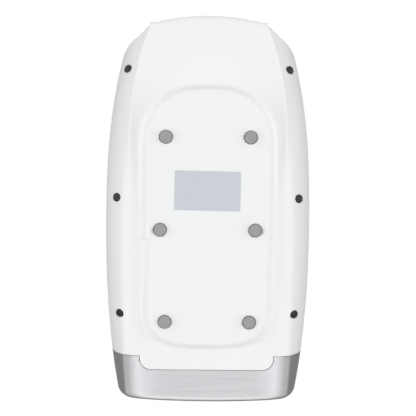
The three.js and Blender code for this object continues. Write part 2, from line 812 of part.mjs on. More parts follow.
// The funnel from the mouth's rim to the liner, drawn out by an offset.
function funnelForm(offset) {
  const stops = [0, 0.5, 1];
  const front = -ringDepth;
  const rear = ringSetback + ringDepth * 2;
  const wide = limbHalfWidth(-halfLength) - wall - clearance - ringRim;
  const low = soleHeight + wall + clearance + ringRim;
  const high = roofHeight(mouthY(limbHeight, 0)) - wall - clearance - ringRim * 2;
  const backY = mouthY(cavityFloor, ringSetback + ringDepth);
  const rings = stops.map((stop) => {
    const share = Math.min(stop / stops[1], 1);
    const setback = stop <= stops[1] ? front + (ringSetback + ringDepth - front) * share : rear;
    const half = THREE.MathUtils.lerp(wide, linerHalf(backY) - linerWall, share) + offset;
    const floor = THREE.MathUtils.lerp(low, cavityFloor, share) - offset;
    const roof = THREE.MathUtils.lerp(high, cavityRoof, share) + offset;
    const radius = THREE.MathUtils.lerp(funnelRadius, linerRadius - linerWall, share) + offset;
    return spaceRing(half, floor, roof, radius, (z) => mouthY(z, setback));
  });
  return loft(rings);
}

function mouthRing() {
  const inside = housingForm(wall + clearance, 0);
  const slab = mouthSpace(ringSetback + ringDepth).subtract(mouthSpace(ringSetback));
  const faceSlab = mouthSpace(ringSetback + ringRim).subtract(mouthSpace(ringSetback));
  const body = funnelForm(ringRim).intersect(slab).add(faceSlab).intersect(inside);
  const posts = screwPlaces().map(({ x, y }) => (
    rod(x, y, bossRadius + clearance, 0, crownHeight + overrun)
  ));
  return body.subtract(funnelForm(0)).subtract(joined(posts));
}

// Half of a plate that follows the plan of the housing at a distance from its widest line.
const frameStations = 6;
function plateShape(side, frontY, rearY) {
  const right = [];
  for (let step = 0; step <= frameStations; step += 1) {
    const y = frontY + ((rearY - frontY) * step) / frameStations;
    right.push(new THREE.Vector2(limbHalfWidth(y) - side, y));
  }
  const left = right.slice().reverse().map((point) => new THREE.Vector2(-point.x, point.y));
  return new THREE.Shape(right.concat(left));
}

function lowerFrame() {
  const plate = prism(plateShape(frameSide, frameFrontY, frameRearY), lowerFrameBase, lowerFrameTop);
  const rim = prism(plateShape(frameSide, frameFrontY, palmPlateRearY), lowerFrameTop - clearance,
    lowerFrameTop + frameRibHeight);
  const inner = plateShape(frameSide + frameThickness, frameFrontY + frameThickness,
    palmPlateRearY + overrun);
  return plate.add(rim.subtract(prism(inner, lowerFrameTop - overrun, lowerFrameTop + overrun)));
}

function upperFrame() {
  const shape = roundedRectangle(-upperFrameHalfWidth, upperFrameHalfWidth, upperFrameFrontY,
    upperFrameRearY, frameCornerRadius);
  const plate = prism(shape, upperFrameBase, upperFrameTop);
  const posts = mainBoardCorners().map(([x, y]) => (
    rod(x, y, boardPostRadius, upperFrameTop - frameThickness / 2, mainBoardBase - clearance, 12)
  ));
  const [nippleX, nippleY] = palmBagPort();
  const hole = rod(nippleX, nippleY, nippleDiameter / 2 + clearance * 2, upperFrameBase - overrun,
    upperFrameTop + clearance, 12);
  return joined([plate, ...posts]).subtract(hole);
}

function mainBoardCorners() {
  const x = mainBoardHalfWidth - boardPostInset;
  return sides.flatMap(([, side]) => [
    [side * x, mainBoardFrontY + boardPostInset],
    [side * x, mainBoardRearY - boardPostInset],
  ]);
}

function mainBoard() {
  const shape = roundedRectangle(-mainBoardHalfWidth, mainBoardHalfWidth, mainBoardFrontY,
    mainBoardRearY, boardCornerRadius);
  const chipShares = [[-0.5, -1], [0.4, -0.8], [-0.1, 1]];
  const chips = chipShares.map(([across, along]) => {
    const x = across * mainBoardHalfWidth;
    const y = mainBoardY + along * chipSpread;
    const half = chipSize / 2;
    return block(x - half, x + half, y - half, y + half, mainBoardTop - boardThickness / 2,
      mainBoardTop + chipHeight);
  });
  return joined([prism(shape, mainBoardBase, mainBoardTop), ...chips]);
}

const buttonNames = ["heat_button", "power_button", "intensity_button"];
function buttonY(index) {
  return crownY + (index - 1) * buttonPitch;
}

function keyBoard() {
  const shape = roundedRectangle(-keyBoardHalfWidth, keyBoardHalfWidth, crownY - keyBoardHalfLength,
    crownY + keyBoardHalfLength, boardCornerRadius);
  const half = switchSize / 2;
  const switches = buttonNames.map((name, i) => block(-half, half, buttonY(i) - half, buttonY(i) + half,
    keyBoardTop - boardThickness / 2, keyBoardTop + switchHeight));
  return joined([prism(shape, keyBoardBase, keyBoardTop), ...switches]);
}

// A flat ribbon that bows between the two boards.
function ribbonCable() {
  const low = mainBoardTop + clearance;
  const high = keyBoardBase - clearance;
  const ribbonY = mainBoardY + ribbonShift;
  const bow = ribbonY + ribbonBow;
  const shape = new THREE.Shape();
  shape.moveTo(ribbonY, low);
  shape.quadraticCurveTo(bow, (low + high) / 2, ribbonY, high);
  shape.lineTo(ribbonY + ribbonThickness, high);
  shape.quadraticCurveTo(bow + ribbonThickness, (low + high) / 2, ribbonY + ribbonThickness, low);
  const options = { depth: ribbonWidth, bevelEnabled: false, curveSegments: 8 };
  const strip = new THREE.ExtrudeGeometry(shape, options);
  strip.rotateY(Math.PI / 2);
  strip.rotateX(Math.PI / 2);
  strip.translate(-ribbonWidth / 2, 0, 0);
  return solid(strip);
}

// How far the panel's underside dips below its crown over the flange of a button.
function panelDip(index) {
  const reach = buttonDiameter / 2 + buttonFlange + clearance;
  const y = buttonY(index) + Math.sign(index - 1) * reach;
  const share = (1 - (reach / limbHalfWidth(y)) ** roofPowerShare) ** (1 / roofPowerShare);
  return crownHeight - limbHeight - (roofHeight(y) - limbHeight) * share + buttonPlay;
}

function button(index) {
  const y = buttonY(index);
  const rimTop = flangeTop - panelDip(index);
  const rimBase = rimTop - buttonFlangeThickness;
  const top = roofHeight(y) + buttonStand;
  const radius = buttonDiameter / 2;
  const profile = [
    [0, stemBase],
    [buttonStemDiameter / 2, stemBase],
    [buttonStemDiameter / 2, rimBase],
    [radius + buttonFlange, rimBase],
    [radius + buttonFlange, rimTop],
    [radius, rimTop],
    [radius, top - buttonEdge],
    [radius - buttonEdge, top],
    [0, top - buttonEdge / 2],
  ];
  const points = profile.map(([r, z]) => new THREE.Vector2(r, z));
  const turned = new THREE.LatheGeometry(points, 16);
  turned.rotateX(Math.PI / 2);
  turned.translate(0, y, 0);
  return solid(turned);
}

function lightGuideShape(margin) {
  const low = lightGuideAcross - lightGuideWidth / 2 - margin;
  const high = lightGuideAcross + lightGuideWidth / 2 + margin;
  const half = lightGuideLength / 2 + margin;
  return roundedRectangle(low, high, crownY - half, crownY + half, lightGuideWidth / 2);
}

function controlPanel() {
  const high = crownHeight + overrun;
  const layer = housingForm(panelSink, 0).subtract(housingForm(panelSink + panelThickness, 0));
  const holes = buttonNames.map((name, i) => (
    rod(0, buttonY(i), buttonDiameter / 2 + clearance, limbHeight, high, 16)
  ));
  return layer.intersect(prism(panelShape(0), limbHeight, high, panelTurns))
    .subtract(joined([...holes, prism(lightGuideShape(clearance), limbHeight, high)]));
}

function lightGuide() {
  const layer = housingForm(panelSink, 0).subtract(housingForm(panelSink + panelThickness, 0));
  return layer.intersect(prism(lightGuideShape(0), limbHeight, crownHeight + overrun));
}

// A flat air bag whose faces swell between its welded edges, with a hose nipple of its own.
const swellShares = [[0, 2], [0.2, 0.5], [0.5, 0], [0.8, 0.5], [1, 2]];
function airbag(half, frontY, rearY, base) {
  const rings = swellShares.map(([up, drawn]) => {
    const inset = airbagBulge * drawn;
    const shape = roundedRectangle(inset - half, half - inset, frontY + inset, rearY - inset,
      frameCornerRadius - inset);
    const z = base + airbagThickness * up;
    return shape.extractPoints(cornerTurns).shape.map((point) => new THREE.Vector3(point.x, point.y, z));
  });
  return loft(rings);
}

const lowerBagHalfWidth = palmPlateHalfWidth - airbagMargin;
const lowerBagRearY = palmPlateRearY - airbagMargin * 2;
const lowerBagPortX = lowerBagHalfWidth - frameCornerRadius;
const bagPortHeight = airbagThickness / 2;

function lowerAirbag() {
  const bag = airbag(lowerBagHalfWidth, palmPlateFrontY + airbagMargin, lowerBagRearY, lowerBagBase);
  const nipple = longRod(lowerBagPortX, lowerBagBase + bagPortHeight, nippleDiameter / 2,
    lowerBagRearY - airbagMargin, lowerBagRearY + nippleLength);
  return bag.add(nipple);
}

const fingerBagPortX = manifoldX - portPitch;
function fingerAirbag() {
  const bag = airbag(upperBagHalfWidth, bagSplitY + bagGap, fingerBagRearY, upperBagBase);
  const nipple = longRod(fingerBagPortX, upperBagBase + bagPortHeight, nippleDiameter / 2,
    fingerBagRearY - airbagMargin, fingerBagRearY + nippleLength);
  return bag.add(nipple);
}

function palmBagPort() {
  return [upperBagHalfWidth - nippleDiameter, (palmBagFrontY + bagSplitY) / 2];
}

function palmAirbag() {
  const bag = airbag(upperBagHalfWidth, palmBagFrontY, bagSplitY, upperBagBase);
  const [x, y] = palmBagPort();
  const nipple = rod(x, y, nippleDiameter / 2, upperBagBase + bagPortHeight,
    upperFrameTop + clearance * 2, 12);
  return bag.add(nipple);
}

// Rounded nubs that knead the palm.
const nubSteps = 2;
function nub(x, y, base) {
  const points = [new THREE.Vector2(0, base - palmPlateThickness / 2)];
  points.push(new THREE.Vector2(nubRadius, base - palmPlateThickness / 2));
  for (let step = 0; step <= nubSteps; step += 1) {
    const angle = ((step / nubSteps) * Math.PI) / 2;
    const radius = step < nubSteps ? nubRadius * Math.cos(angle) : 0;
    points.push(new THREE.Vector2(radius, base + nubHeight * Math.sin(angle)));
  }
  const turned = new THREE.LatheGeometry(points, 8);
  turned.rotateX(Math.PI / 2);
  turned.translate(x, y, 0);
  return solid(turned);
}

function palmPlate() {
  const shape = roundedRectangle(-palmPlateHalfWidth, palmPlateHalfWidth, palmPlateFrontY, palmPlateRearY,
    palmPlateRadius);
  const nubs = [];
  for (let row = 0; row < nubRows; row += 1) {
    for (let column = 0; column < nubColumns; column += 1) {
      const x = (palmPlateHalfWidth - nubSideMargin) * ((column * 2) / (nubColumns - 1) - 1);
      const y = THREE.MathUtils.lerp(palmPlateFrontY + nubEndMargin, palmPlateRearY - nubEndMargin,
        row / (nubRows - 1));
      nubs.push(nub(x, y, palmPlateTop));
    }
  }
  return joined([prism(shape, palmPlateBase, palmPlateTop), ...nubs]);
}

function heatingPad() {
  const inset = airbagMargin * 2;
  const half = palmPlateHalfWidth - inset;
  const shape = roundedRectangle(-half, half, palmPlateFrontY + inset, palmPlateRearY - inset,
    palmPlateRadius - inset);
  return prism(shape, heatingPadBase, heatingPadBase + heatingPadThickness);
}

function batteryPack() {
  const shape = roundedRectangle(-batteryHalfWidth, batteryHalfWidth, batteryFrontY,
    batteryFrontY + batteryLength, batteryRadius);
  return prism(shape, batteryBase, batteryBase + batteryThickness);
}

function rubberFoot(x, y) {
  const radius = footDiameter / 2;
  const top = faceHeight + footSeat;
  const profile = [[0, 0], [radius - footEdge, 0], [radius, footEdge], [radius, top], [0, top]];
  const turned = new THREE.LatheGeometry(profile.map(([r, z]) => new THREE.Vector2(r, z)), 14);
  turned.rotateX(Math.PI / 2);
  turned.translate(x, y, 0);
  return solid(turned);
}

function housingScrew(x, y) {
  const headTop = screwSeat - clearance;
  const head = rod(x, y, screwHeadDiameter / 2, headTop - screwHeadHeight, headTop, 12);
  return head.add(rod(x, y, screwDiameter / 2, headTop - screwHeadHeight / 2, headTop + screwLength, 8));
}

// The pump: motor, crank, head and cover on one axis across the tail.
const motorStartX = motorEndX - motorLength;
const headStartX = motorEndX + motorBossLength + clearance;
const headEndX = headStartX + pumpHeadLength;
const coverEndX = headEndX + clearance + pumpCoverThickness;

function pumpMotor() {
  const can = crossRod(pumpY, pumpHeight, motorDiameter / 2, motorStartX, motorEndX);
  const nose = crossRod(pumpY, pumpHeight, motorBossDiameter / 2, motorEndX - clearance,
    motorEndX + motorBossLength);
  const tail = crossRod(pumpY, pumpHeight, motorBossDiameter / 2, motorStartX - motorBossLength,
    motorStartX + clearance);
  const bore = crossRod(pumpY, pumpHeight, shaftDiameter / 2 + clearance, motorEndX - shaftInset - clearance,
    motorEndX + overrun, 12);
  return joined([can, nose, tail]).subtract(bore);
}

function pumpHead() {
  const outside = crossRod(pumpY, pumpHeight, pumpHeadDiameter / 2, headStartX, headEndX);
  const inside = crossRod(pumpY, pumpHeight, pumpHeadDiameter / 2 - pumpHeadWall, headStartX + pumpHeadWall,
    headEndX + overrun);
  const hole = crossRod(pumpY, pumpHeight, shaftDiameter / 2 + clearance, headStartX - overrun, headEndX, 12);
  return outside.subtract(inside).subtract(hole);
}

function pumpCover() {
  const start = headEndX + clearance;
  const disc = crossRod(pumpY, pumpHeight, pumpHeadDiameter / 2, start, coverEndX);
  const nipple = crossRod(pumpY, pumpHeight + outletRise, nippleDiameter / 2, coverEndX - clearance,
    coverEndX + nippleLength, 12);
  return disc.add(nipple);
}

function pumpRotor() {
  const shaft = crossRod(pumpY, pumpHeight, shaftDiameter / 2, motorEndX - shaftInset,
    cranksetX + cranksetThickness + shaftDiameter, 12);
  const crank = crossRod(pumpY, pumpHeight + cranksetOffset, cranksetDiameter / 2, cranksetX,
    cranksetX + cranksetThickness, 16);
  return shaft.add(crank);
}

function pumpCradle() {
  const half = pumpHeadDiameter / 2;
  const lowX = motorStartX - cradleThickness;
  const highX = coverEndX + cradleThickness;
  const frontY = webY - webThickness / 2;
  const base = block(lowX, highX, frontY, frameRearY, cradleBase, cradleTop);
  const web = block(lowX, highX, frontY, frontY + webThickness, cradleBase, shelfTop);
  const shelf = block(-shelfHalfWidth, shelfHalfWidth, frontY, frontY + shelfDepth, shelfBase, shelfTop);
  const saddleY = half * saddleSpanShare;
  const saddleTop = pumpHeight - half / 2;
  const saddleCentres = [(motorStartX + motorEndX) / 2, (headStartX + headEndX) / 2];
  const saddles = saddleCentres.map((x) => (
    block(x - saddleWidth / 2, x + saddleWidth / 2, pumpY - saddleY, pumpY + saddleY,
      cradleTop - clearance, saddleTop)
  ));
  const motorRadius = motorDiameter / 2 + clearance;
  const motorRoom = crossRod(pumpY, pumpHeight, motorRadius, motorStartX - overrun, motorEndX);
  const headRoom = crossRod(pumpY, pumpHeight, half + clearance, motorEndX, coverEndX + overrun);
  return joined([base, web, shelf, ...saddles]).subtract(motorRoom).subtract(headRoom);
}

function valveX(index) {
  return valveFirstX + index * valvePitch;
}

function valveBody(index) {
  const x = valveX(index);
  const half = valveWidth / 2;
  const base = shelfTop + clearance;
  const top = base + valveHeight;
  const frontY = valveY - valveDepth / 2;
  const rearY = valveY + valveDepth / 2;
  const foot = block(x - half, x + half, frontY, rearY, base, base + valveYoke);
  const head = block(x - half, x + half, frontY, rearY, top - valveYoke, top);
  const back = block(x - half, x - half + valveYoke, frontY, rearY, base, top);
  const coil = rod(x, valveY, coilDiameter / 2, base + valveYoke / 2, top - valveYoke / 2, 14);
  const boreBase = top - plungerDepth - plungerStroke - clearance;
  const bore = rod(x, valveY, plungerDiameter / 2 + clearance, boreBase, top + overrun, 10);
  return joined([foot, head, back, coil]).subtract(bore);
}

function valvePlunger(index) {
  const top = shelfTop + clearance + valveHeight;
  const capBase = top + plungerStroke + clearance;
  const stem = rod(valveX(index), valveY, plungerDiameter / 2, top - plungerDepth,
    capBase + plungerCapHeight / 2, 10);
  const cap = rod(valveX(index), valveY, plungerCapDiameter / 2, capBase, capBase + plungerCapHeight, 14);
  return stem.add(cap);
}

const manifoldBase = shelfTop + clearance;
const manifoldTop = manifoldBase + manifoldHeight;
const manifoldEndX = manifoldX + manifoldLength / 2;

function airManifold() {
  const half = manifoldLength / 2;
  const shape = roundedRectangle(manifoldX - half, manifoldX + half, valveY - manifoldWidth / 2,
    valveY + manifoldWidth / 2, boardCornerRadius);
  return prism(shape, manifoldBase, manifoldTop);
}

// A round hose along a smooth curve through points.
function hose(points) {
  const curve = new THREE.CatmullRomCurve3(points.map(([x, y, z]) => new THREE.Vector3(x, y, z)));
  const section = new THREE.Shape();
  for (let i = 0; i < hoseSides; i += 1) {
    const angle = (i / hoseSides) * Math.PI * 2;
    const x = (hoseDiameter / 2) * Math.cos(angle);
    const y = (hoseDiameter / 2) * Math.sin(angle);
    if (i === 0) {
      section.moveTo(x, y);
    } else {
      section.lineTo(x, y);
    }
  }
  return solid(new THREE.ExtrudeGeometry(section, { steps: hoseSteps, extrudePath: curve }));
}

function pumpHose() {
  const start = coverEndX + nippleLength + clearance;
  const low = pumpHeight + outletRise;
  const high = manifoldBase + portRise;
  const bend = hoseDiameter * 2;
  return hose([
    [start, pumpY, low],
    [start + bend / 2, pumpY, low],
    [start + bend, pumpY - bend / 4, (low + high) / 2],
    [start + bend / 2, valveY + portPitch / 2, high],
    [manifoldEndX + clearance, valveY + portPitch / 2, high],
  ]);
}

function lowerHose() {
  const high = manifoldBase + portRise;
  const low = lowerBagBase + bagPortHeight;
  const y = valveY - portPitch / 2;
  const side = coverEndX + nippleLength + hoseDiameter * 2;
  return hose([
    [manifoldEndX + clearance, y, high],
    [manifoldEndX + hoseDiameter, y, high],
    [side - hoseDiameter / 2, y - hoseDiameter / 2, (low + high * 2) / 3],
    [side, y - hoseDiameter / 2, (low * 2 + high) / 3],
    [side - hoseDiameter, webY - hoseDiameter * hoseTurnShare, low + hoseDiameter / 2],
    [(side + lowerBagPortX) / 2, lowerBagRearY + nippleLength + hoseDiameter * hoseSwingShare, low],
    [lowerBagPortX, lowerBagRearY + nippleLength + hoseDiameter, low],
    [lowerBagPortX, lowerBagRearY + nippleLength + clearance, low],
  ]);
}

function fingerHose() {
  const high = upperBagBase + bagPortHeight;
  const end = fingerBagRearY + nippleLength + clearance;
  return hose([
    [fingerBagPortX, valveY, manifoldTop + clearance],
    [fingerBagPortX, valveY, manifoldTop + hoseDiameter],
    [fingerBagPortX, valveY - hoseDiameter / 2, high - hoseDiameter / 2],
    [fingerBagPortX, end + hoseDiameter, high],
    [fingerBagPortX, end, high],
  ]);
}

function palmHose() {
  const [x, y] = palmBagPort();
  const end = upperFrameTop + clearance * 3;
  const high = end + hoseDiameter * 2;
  const portX = manifoldX + portPitch;
  return hose([
    [x, y, end],
    [x, y, end + hoseDiameter * hoseStubShare],
    [x, y + hoseDiameter * hoseTurnShare, high],
    [x, (y + hangerRearY) / 2, high],
    [x, hangerRearY, high - hoseDiameter],
    [x, upperFrameRearY + hoseDiameter, high - hoseDiameter * 2],
    [(x + portX) / 2, valveY - hoseDiameter / 4, upperFrameBase - hoseDiameter],
    [portX, valveY, manifoldTop + hoseDiameter],
    [portX, valveY, manifoldTop + clearance],
  ]);
}

// Charging socket: a thin oval sleeve with a contact tongue, closed at its inner end.
function chargingSocket() {
  const rear = halfLength - clearance;
  const sleeve = (inset, lowY, highY) => {
    const half = socketWidth / 2 - inset;
    const shape = roundedRectangle(-half, half, inset, socketHeight - inset, socketHeight / 2 - inset);
    const options = { depth: highY - lowY, bevelEnabled: false, curveSegments: 3 };
    const extruded = new THREE.ExtrudeGeometry(shape, options);
    extruded.rotateX(Math.PI / 2);
    extruded.translate(0, highY, socketRise);
    return solid(extruded);
  };
  const outside = sleeve(0, rear - socketLength, rear);
  const inside = sleeve(socketWall, rear - socketLength + socketWall * 2, rear + overrun);
  const tongueHalf = socketWidth / 2 - socketHeight / 2;
  const middle = socketRise + socketHeight / 2;
  const tongue = block(-tongueHalf, tongueHalf, rear - socketLength, rear - socketHeight / 2,
    middle - socketTongue / 2, middle + socketTongue / 2);
  return outside.subtract(inside).add(tongue);
}

function chargeBoard() {
  const half = chargeBoardWidth / 2;
  const rear = halfLength - wall - clearance;
  const top = socketRise - clearance / 2;
  return block(-half, half, rear - chargeBoardLength, rear, top - chargeBoardThickness + clearance / 2, top);
}

place("lower_shell", lowerShell(), "whitePlastic");
place("upper_shell", upperShell(), "whitePlastic");
place("tail_cap", tailCap(), "silver");
place("mouth_ring", mouthRing(), "greyPlastic");
place("control_panel", controlPanel(), "panelPlastic");
place("light_guide", lightGuide(), "lightPlastic");
buttonNames.forEach((name, i) => place(name, button(i), "buttonPlastic"));
footPlaces().forEach(({ x, y }, i) => place(`rubber_foot_${i + 1}`, rubberFoot(x, y), "greyRubber"));
screwPlaces().forEach(({ x, y }, i) => place(`housing_screw_${i + 1}`, housingScrew(x, y), "darkSteel"));
place("hand_liner", handLiner(), "linerFabric");
place("lower_frame", lowerFrame(), "greyPlastic");
place("upper_frame", upperFrame(), "greyPlastic");
place("palm_plate", palmPlate(), "greyPlastic");
place("heating_pad", heatingPad(), "heatingFilm");
place("lower_airbag", lowerAirbag(), "airbagFilm");
place("palm_airbag", palmAirbag(), "airbagFilm");
place("finger_airbag", fingerAirbag(), "airbagFilm");
place("battery_pack", batteryPack(), "batteryWrap");
place("main_board", mainBoard(), "boardGreen");
place("key_board", keyBoard(), "boardGreen");
place("ribbon_cable", ribbonCable(), "greyPlastic");
place("pump_cradle", pumpCradle(), "blackPlastic");
place("pump_motor", pumpMotor(), "motorSteel");
place("pump_head", pumpHead(), "blackPlastic");
place("pump_cover", pumpCover(), "blackPlastic");
place("pump_rotor", pumpRotor(), "motorSteel");
sides.forEach(([side], i) => place(`valve_body_${side}`, valveBody(i), "motorSteel"));
sides.forEach(([side], i) => place(`valve_plunger_${side}`, valvePlunger(i), "darkSteel"));
place("air_manifold", airManifold(), "blackPlastic");
place("pump_hose", pumpHose(), "hoseRubber");
place("lower_hose", lowerHose(), "hoseRubber");
place("finger_hose", fingerHose(), "hoseRubber");
place("palm_hose", palmHose(), "hoseRubber");
place("charging_socket", chargingSocket(), "motorSteel");
place("charge_board", chargeBoard(), "boardGreen");

export default massager;
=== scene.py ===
"""Looks of a cordless hand massager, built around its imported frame. Lengths are in metres.

X runs across, Y from the hand opening to the tail, and Z up from the feet.
"""
import json
from math import cos, pi, radians, sin

import bmesh
import bpy
import numpy as np
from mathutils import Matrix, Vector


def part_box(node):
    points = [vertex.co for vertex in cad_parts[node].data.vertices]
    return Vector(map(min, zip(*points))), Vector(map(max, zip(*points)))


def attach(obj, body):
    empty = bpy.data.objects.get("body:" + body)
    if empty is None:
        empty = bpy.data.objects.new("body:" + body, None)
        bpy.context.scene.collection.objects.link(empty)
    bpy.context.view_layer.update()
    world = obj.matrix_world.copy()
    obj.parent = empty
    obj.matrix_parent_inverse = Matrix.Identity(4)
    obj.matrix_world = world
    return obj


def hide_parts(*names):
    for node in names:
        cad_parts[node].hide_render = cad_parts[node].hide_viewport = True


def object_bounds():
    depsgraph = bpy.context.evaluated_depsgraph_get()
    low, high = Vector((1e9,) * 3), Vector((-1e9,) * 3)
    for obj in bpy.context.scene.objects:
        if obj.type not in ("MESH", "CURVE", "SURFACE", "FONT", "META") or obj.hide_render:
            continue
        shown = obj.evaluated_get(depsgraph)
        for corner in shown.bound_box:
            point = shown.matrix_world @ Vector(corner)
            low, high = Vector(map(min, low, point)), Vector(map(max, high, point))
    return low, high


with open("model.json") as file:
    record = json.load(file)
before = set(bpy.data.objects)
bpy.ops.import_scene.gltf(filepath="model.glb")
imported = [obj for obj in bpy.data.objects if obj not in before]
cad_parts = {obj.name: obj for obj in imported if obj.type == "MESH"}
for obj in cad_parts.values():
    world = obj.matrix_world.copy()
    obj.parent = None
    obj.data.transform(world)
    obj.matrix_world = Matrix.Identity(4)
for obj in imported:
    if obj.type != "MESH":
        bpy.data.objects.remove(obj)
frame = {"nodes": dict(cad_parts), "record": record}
CAD_BOX = [list(corner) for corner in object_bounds()]
MM = 0.001

# Overall form, from the frame
PLATFORM_RISE = 7.5 * MM
BUTTON_STAND = 0.6 * MM
CAP_LENGTH = 27.9 * MM
HALF_WIDTH = CAD_BOX[1][0]
HALF_LENGTH = CAD_BOX[1][1]
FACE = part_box("lower_shell")[0].z
SOLE = FACE + PLATFORM_RISE
PARTING = (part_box("lower_shell")[1].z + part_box("upper_shell")[0].z) / 2
CROWN = CAD_BOX[1][2] - BUTTON_STAND
WALL = 2.6 * MM
CLEARANCE = 0.3 * MM
SEAM_GAP = 0.4 * MM
GAP = SEAM_GAP / 2
SEAM_Y = HALF_LENGTH - CAP_LENGTH
LIMB_HEIGHT = 54 * MM
EDGE = 0.15 * MM
BEYOND = 20 * MM

# Plan and side form: how far each end draws in from the widest or highest place, and the power
WIDEST_Y = 8 * MM
CROWN_Y = -10 * MM
MOUTH_NARROWING = (16.8 * MM, 2.6)
TAIL_NARROWING = (9.2 * MM, 2.18)
MOUTH_DROP = (24 * MM, 2.2)
TAIL_DROP = (24 * MM, 2.6)
ROOF_POWER = 2.4
FLANK_CONTROL = 0.44
END_RADIUS = 3.4 * MM
END_BOW = 1.7 * MM

# Ridges along the sole: crisp at the mouth, rounded at the tail. Three corners across the ridge,
# from its crest's place on the sole, and how far each is rounded
RIDGE_INSET = 16.5 * MM
MOUTH_RIDGE = (16.5 * MM, 3.45)
TAIL_RIDGE = (3 * MM, 2)
CRISP_START, CRISP_END = -55 * MM, 25 * MM
CRISP_RIDGE = np.array([[-3, 0], [0, -0.8], [2.2, 2.7]]) * MM
CRISP_TRIM = np.array([1.2, 0.7, 0.9]) * MM
INNER_RIDGE = np.array([[-5, 0], [-0.2, 0], [2.2, 2.7]]) * MM
INNER_TRIM = np.array([1, 2.3, 0.8]) * MM
ROUND_RIDGE = np.array([[-13, 0], [-4.5, 0.8], [3, 4.2]]) * MM
ROUND_TRIM = np.array([4, 3.4, 3.4]) * MM

# Hand opening
LIP_REACH = 5 * MM
LIP_INSET = 13.8 * MM
LIP_RADIUS = 3 * MM
LIP_BEND = 0.8 * MM
CAMBER, CAMBER_START, CAMBER_RUN = 2.2 * MM, -97 * MM, 21.5 * MM
LEAN = 0.3
SHOULDER, SHOULDER_RISE = 5.5 * MM, 2.5 * MM

# Platform under the housing
CHANNEL = 12.5 * MM
PLATFORM_FRONT = HALF_LENGTH - 46.7 * MM
PLATFORM_REAR = HALF_LENGTH - 36.9 * MM
FRONT_RUN, FRONT_POWER, FRONT_FLARE = 32.5 * MM, 2.45, 5 * MM
REAR_RUN, REAR_POWER, REAR_FLARE = 32.2 * MM, 3.6, 4 * MM
FRONT_BLEND, REAR_BLEND = 2, 1.5
PLATFORM_TAPER = 3.7 * MM
SIDE_FLARE = 7 * MM
RELIEF_Y, RELIEF_LENGTH, RELIEF_FADE = 19.5 * MM, 25 * MM, 0.8

# Tail seam
TAB_INSET = 8 * MM
TAB_REACH = 8.4 * MM
TAB_RADIUS = 7 * MM
TAB_END = SEAM_Y + TAB_REACH

RIDGE_HALF = HALF_WIDTH - RIDGE_INSET
LIP_HALF = RIDGE_HALF - LIP_INSET
TAB_HALF = RIDGE_HALF - TAB_INSET
PLATFORM_HALF = RIDGE_HALF - CHANNEL
SHOULDER_Y = FRONT_RUN - PLATFORM_FRONT
HEEL_Y = PLATFORM_REAR - REAR_RUN

# Fineness of the casings: rows along Y, steps across the sole, a rounded corner and the roof,
# shares along the flank with a close one beside each free edge, and rounds of searching
GRID = 0.95 * MM
SOLE_STEPS = 46
FILLET_STEPS = 5
ROOF_STEPS = 44
CLOSE = 0.015
LOW_FLANK = np.append(np.linspace(0, 1, 14)[1:-1], [1 - CLOSE, 1])
HIGH_FLANK = np.append([0, CLOSE], np.linspace(0, 1, 10)[1:])
WHOLE_FLANK = np.linspace(0, 1, 24)[1:]
EDGE_ROUNDS = 14
SHARE_ROUNDS, SHARE_LOW, SHARE_HIGH = 26, -4.0, 6.0
TINY, WELD = 1e-12, 1e-7


def smooth(share):
    """Eases in and out between 0 and 1."""
    share = np.clip(share, 0, 1)
    return share * share * (3 - 2 * share)


def unit(vectors):
    """The vectors, brought to length 1."""
    return vectors / np.maximum(np.linalg.norm(vectors, axis=-1, keepdims=True), TINY)


def fading(y, middle, front, rear):
    """What both ends draw in by: nothing at the middle, and each end's amount at the end."""
    ahead = y < middle
    run = np.where(ahead, HALF_LENGTH + middle, HALF_LENGTH - middle)
    amount = np.where(ahead, front[0], rear[0])
    return amount * (np.abs(y - middle) / run) ** np.where(ahead, front[1], rear[1])


def limb_half(y):
    return HALF_WIDTH - fading(y, WIDEST_Y, MOUTH_NARROWING, TAIL_NARROWING)


def roof_height(y):
    return CROWN - fading(y, CROWN_Y, MOUTH_DROP, TAIL_DROP)


def ridge_half(y):
    return RIDGE_HALF - fading(y, 0, MOUTH_RIDGE, TAIL_RIDGE)


def platform_half(y):
    share = np.clip((y - SHOULDER_Y) / (PLATFORM_REAR - SHOULDER_Y), 0, None)
    return PLATFORM_HALF - PLATFORM_TAPER * share * share


def end_form(across, along, run, power):
    """Over 1 outside a rounded end of the platform, which has a run and a power."""
    return across ** power + (along / np.maximum(run, MM)) ** power


def platform_share(x, y):
    """0 on the edge of the platform's face, 1 where its side meets the sole, and beyond."""
    x = np.abs(x)
    low = np.full(np.broadcast(x, y).shape, SHARE_LOW)
    high = np.full_like(low, SHARE_HIGH)
    front = np.clip(SHOULDER_Y - y, 0, None)
    rear = np.clip(y - HEEL_Y, 0, None)
    for _ in range(SHARE_ROUNDS):
        mid = (low + high) / 2
        across = x / np.maximum(platform_half(y) + SIDE_FLARE * mid, MM)
        ahead = end_form(across, front, FRONT_RUN + FRONT_FLARE * mid, FRONT_POWER)
        behind = end_form(across, rear, REAR_RUN + REAR_FLARE * mid, REAR_POWER)
        outside = np.where(front > 0, ahead, behind) > 1
        low = np.where(outside, mid, low)
        high = np.where(outside, high, mid)
    return (low + high) / 2


def softened(shares, heights, width):
    """A side profile with its corners rounded off."""
    places = np.linspace(-2, 3, 1001)
    window = np.hanning(int(width / (places[1] - places[0])) | 1)
    half = len(window) // 2
    heights = np.interp(places, shares, heights)
    return places[half:-half], np.convolve(heights, window / window.sum(), "valid")


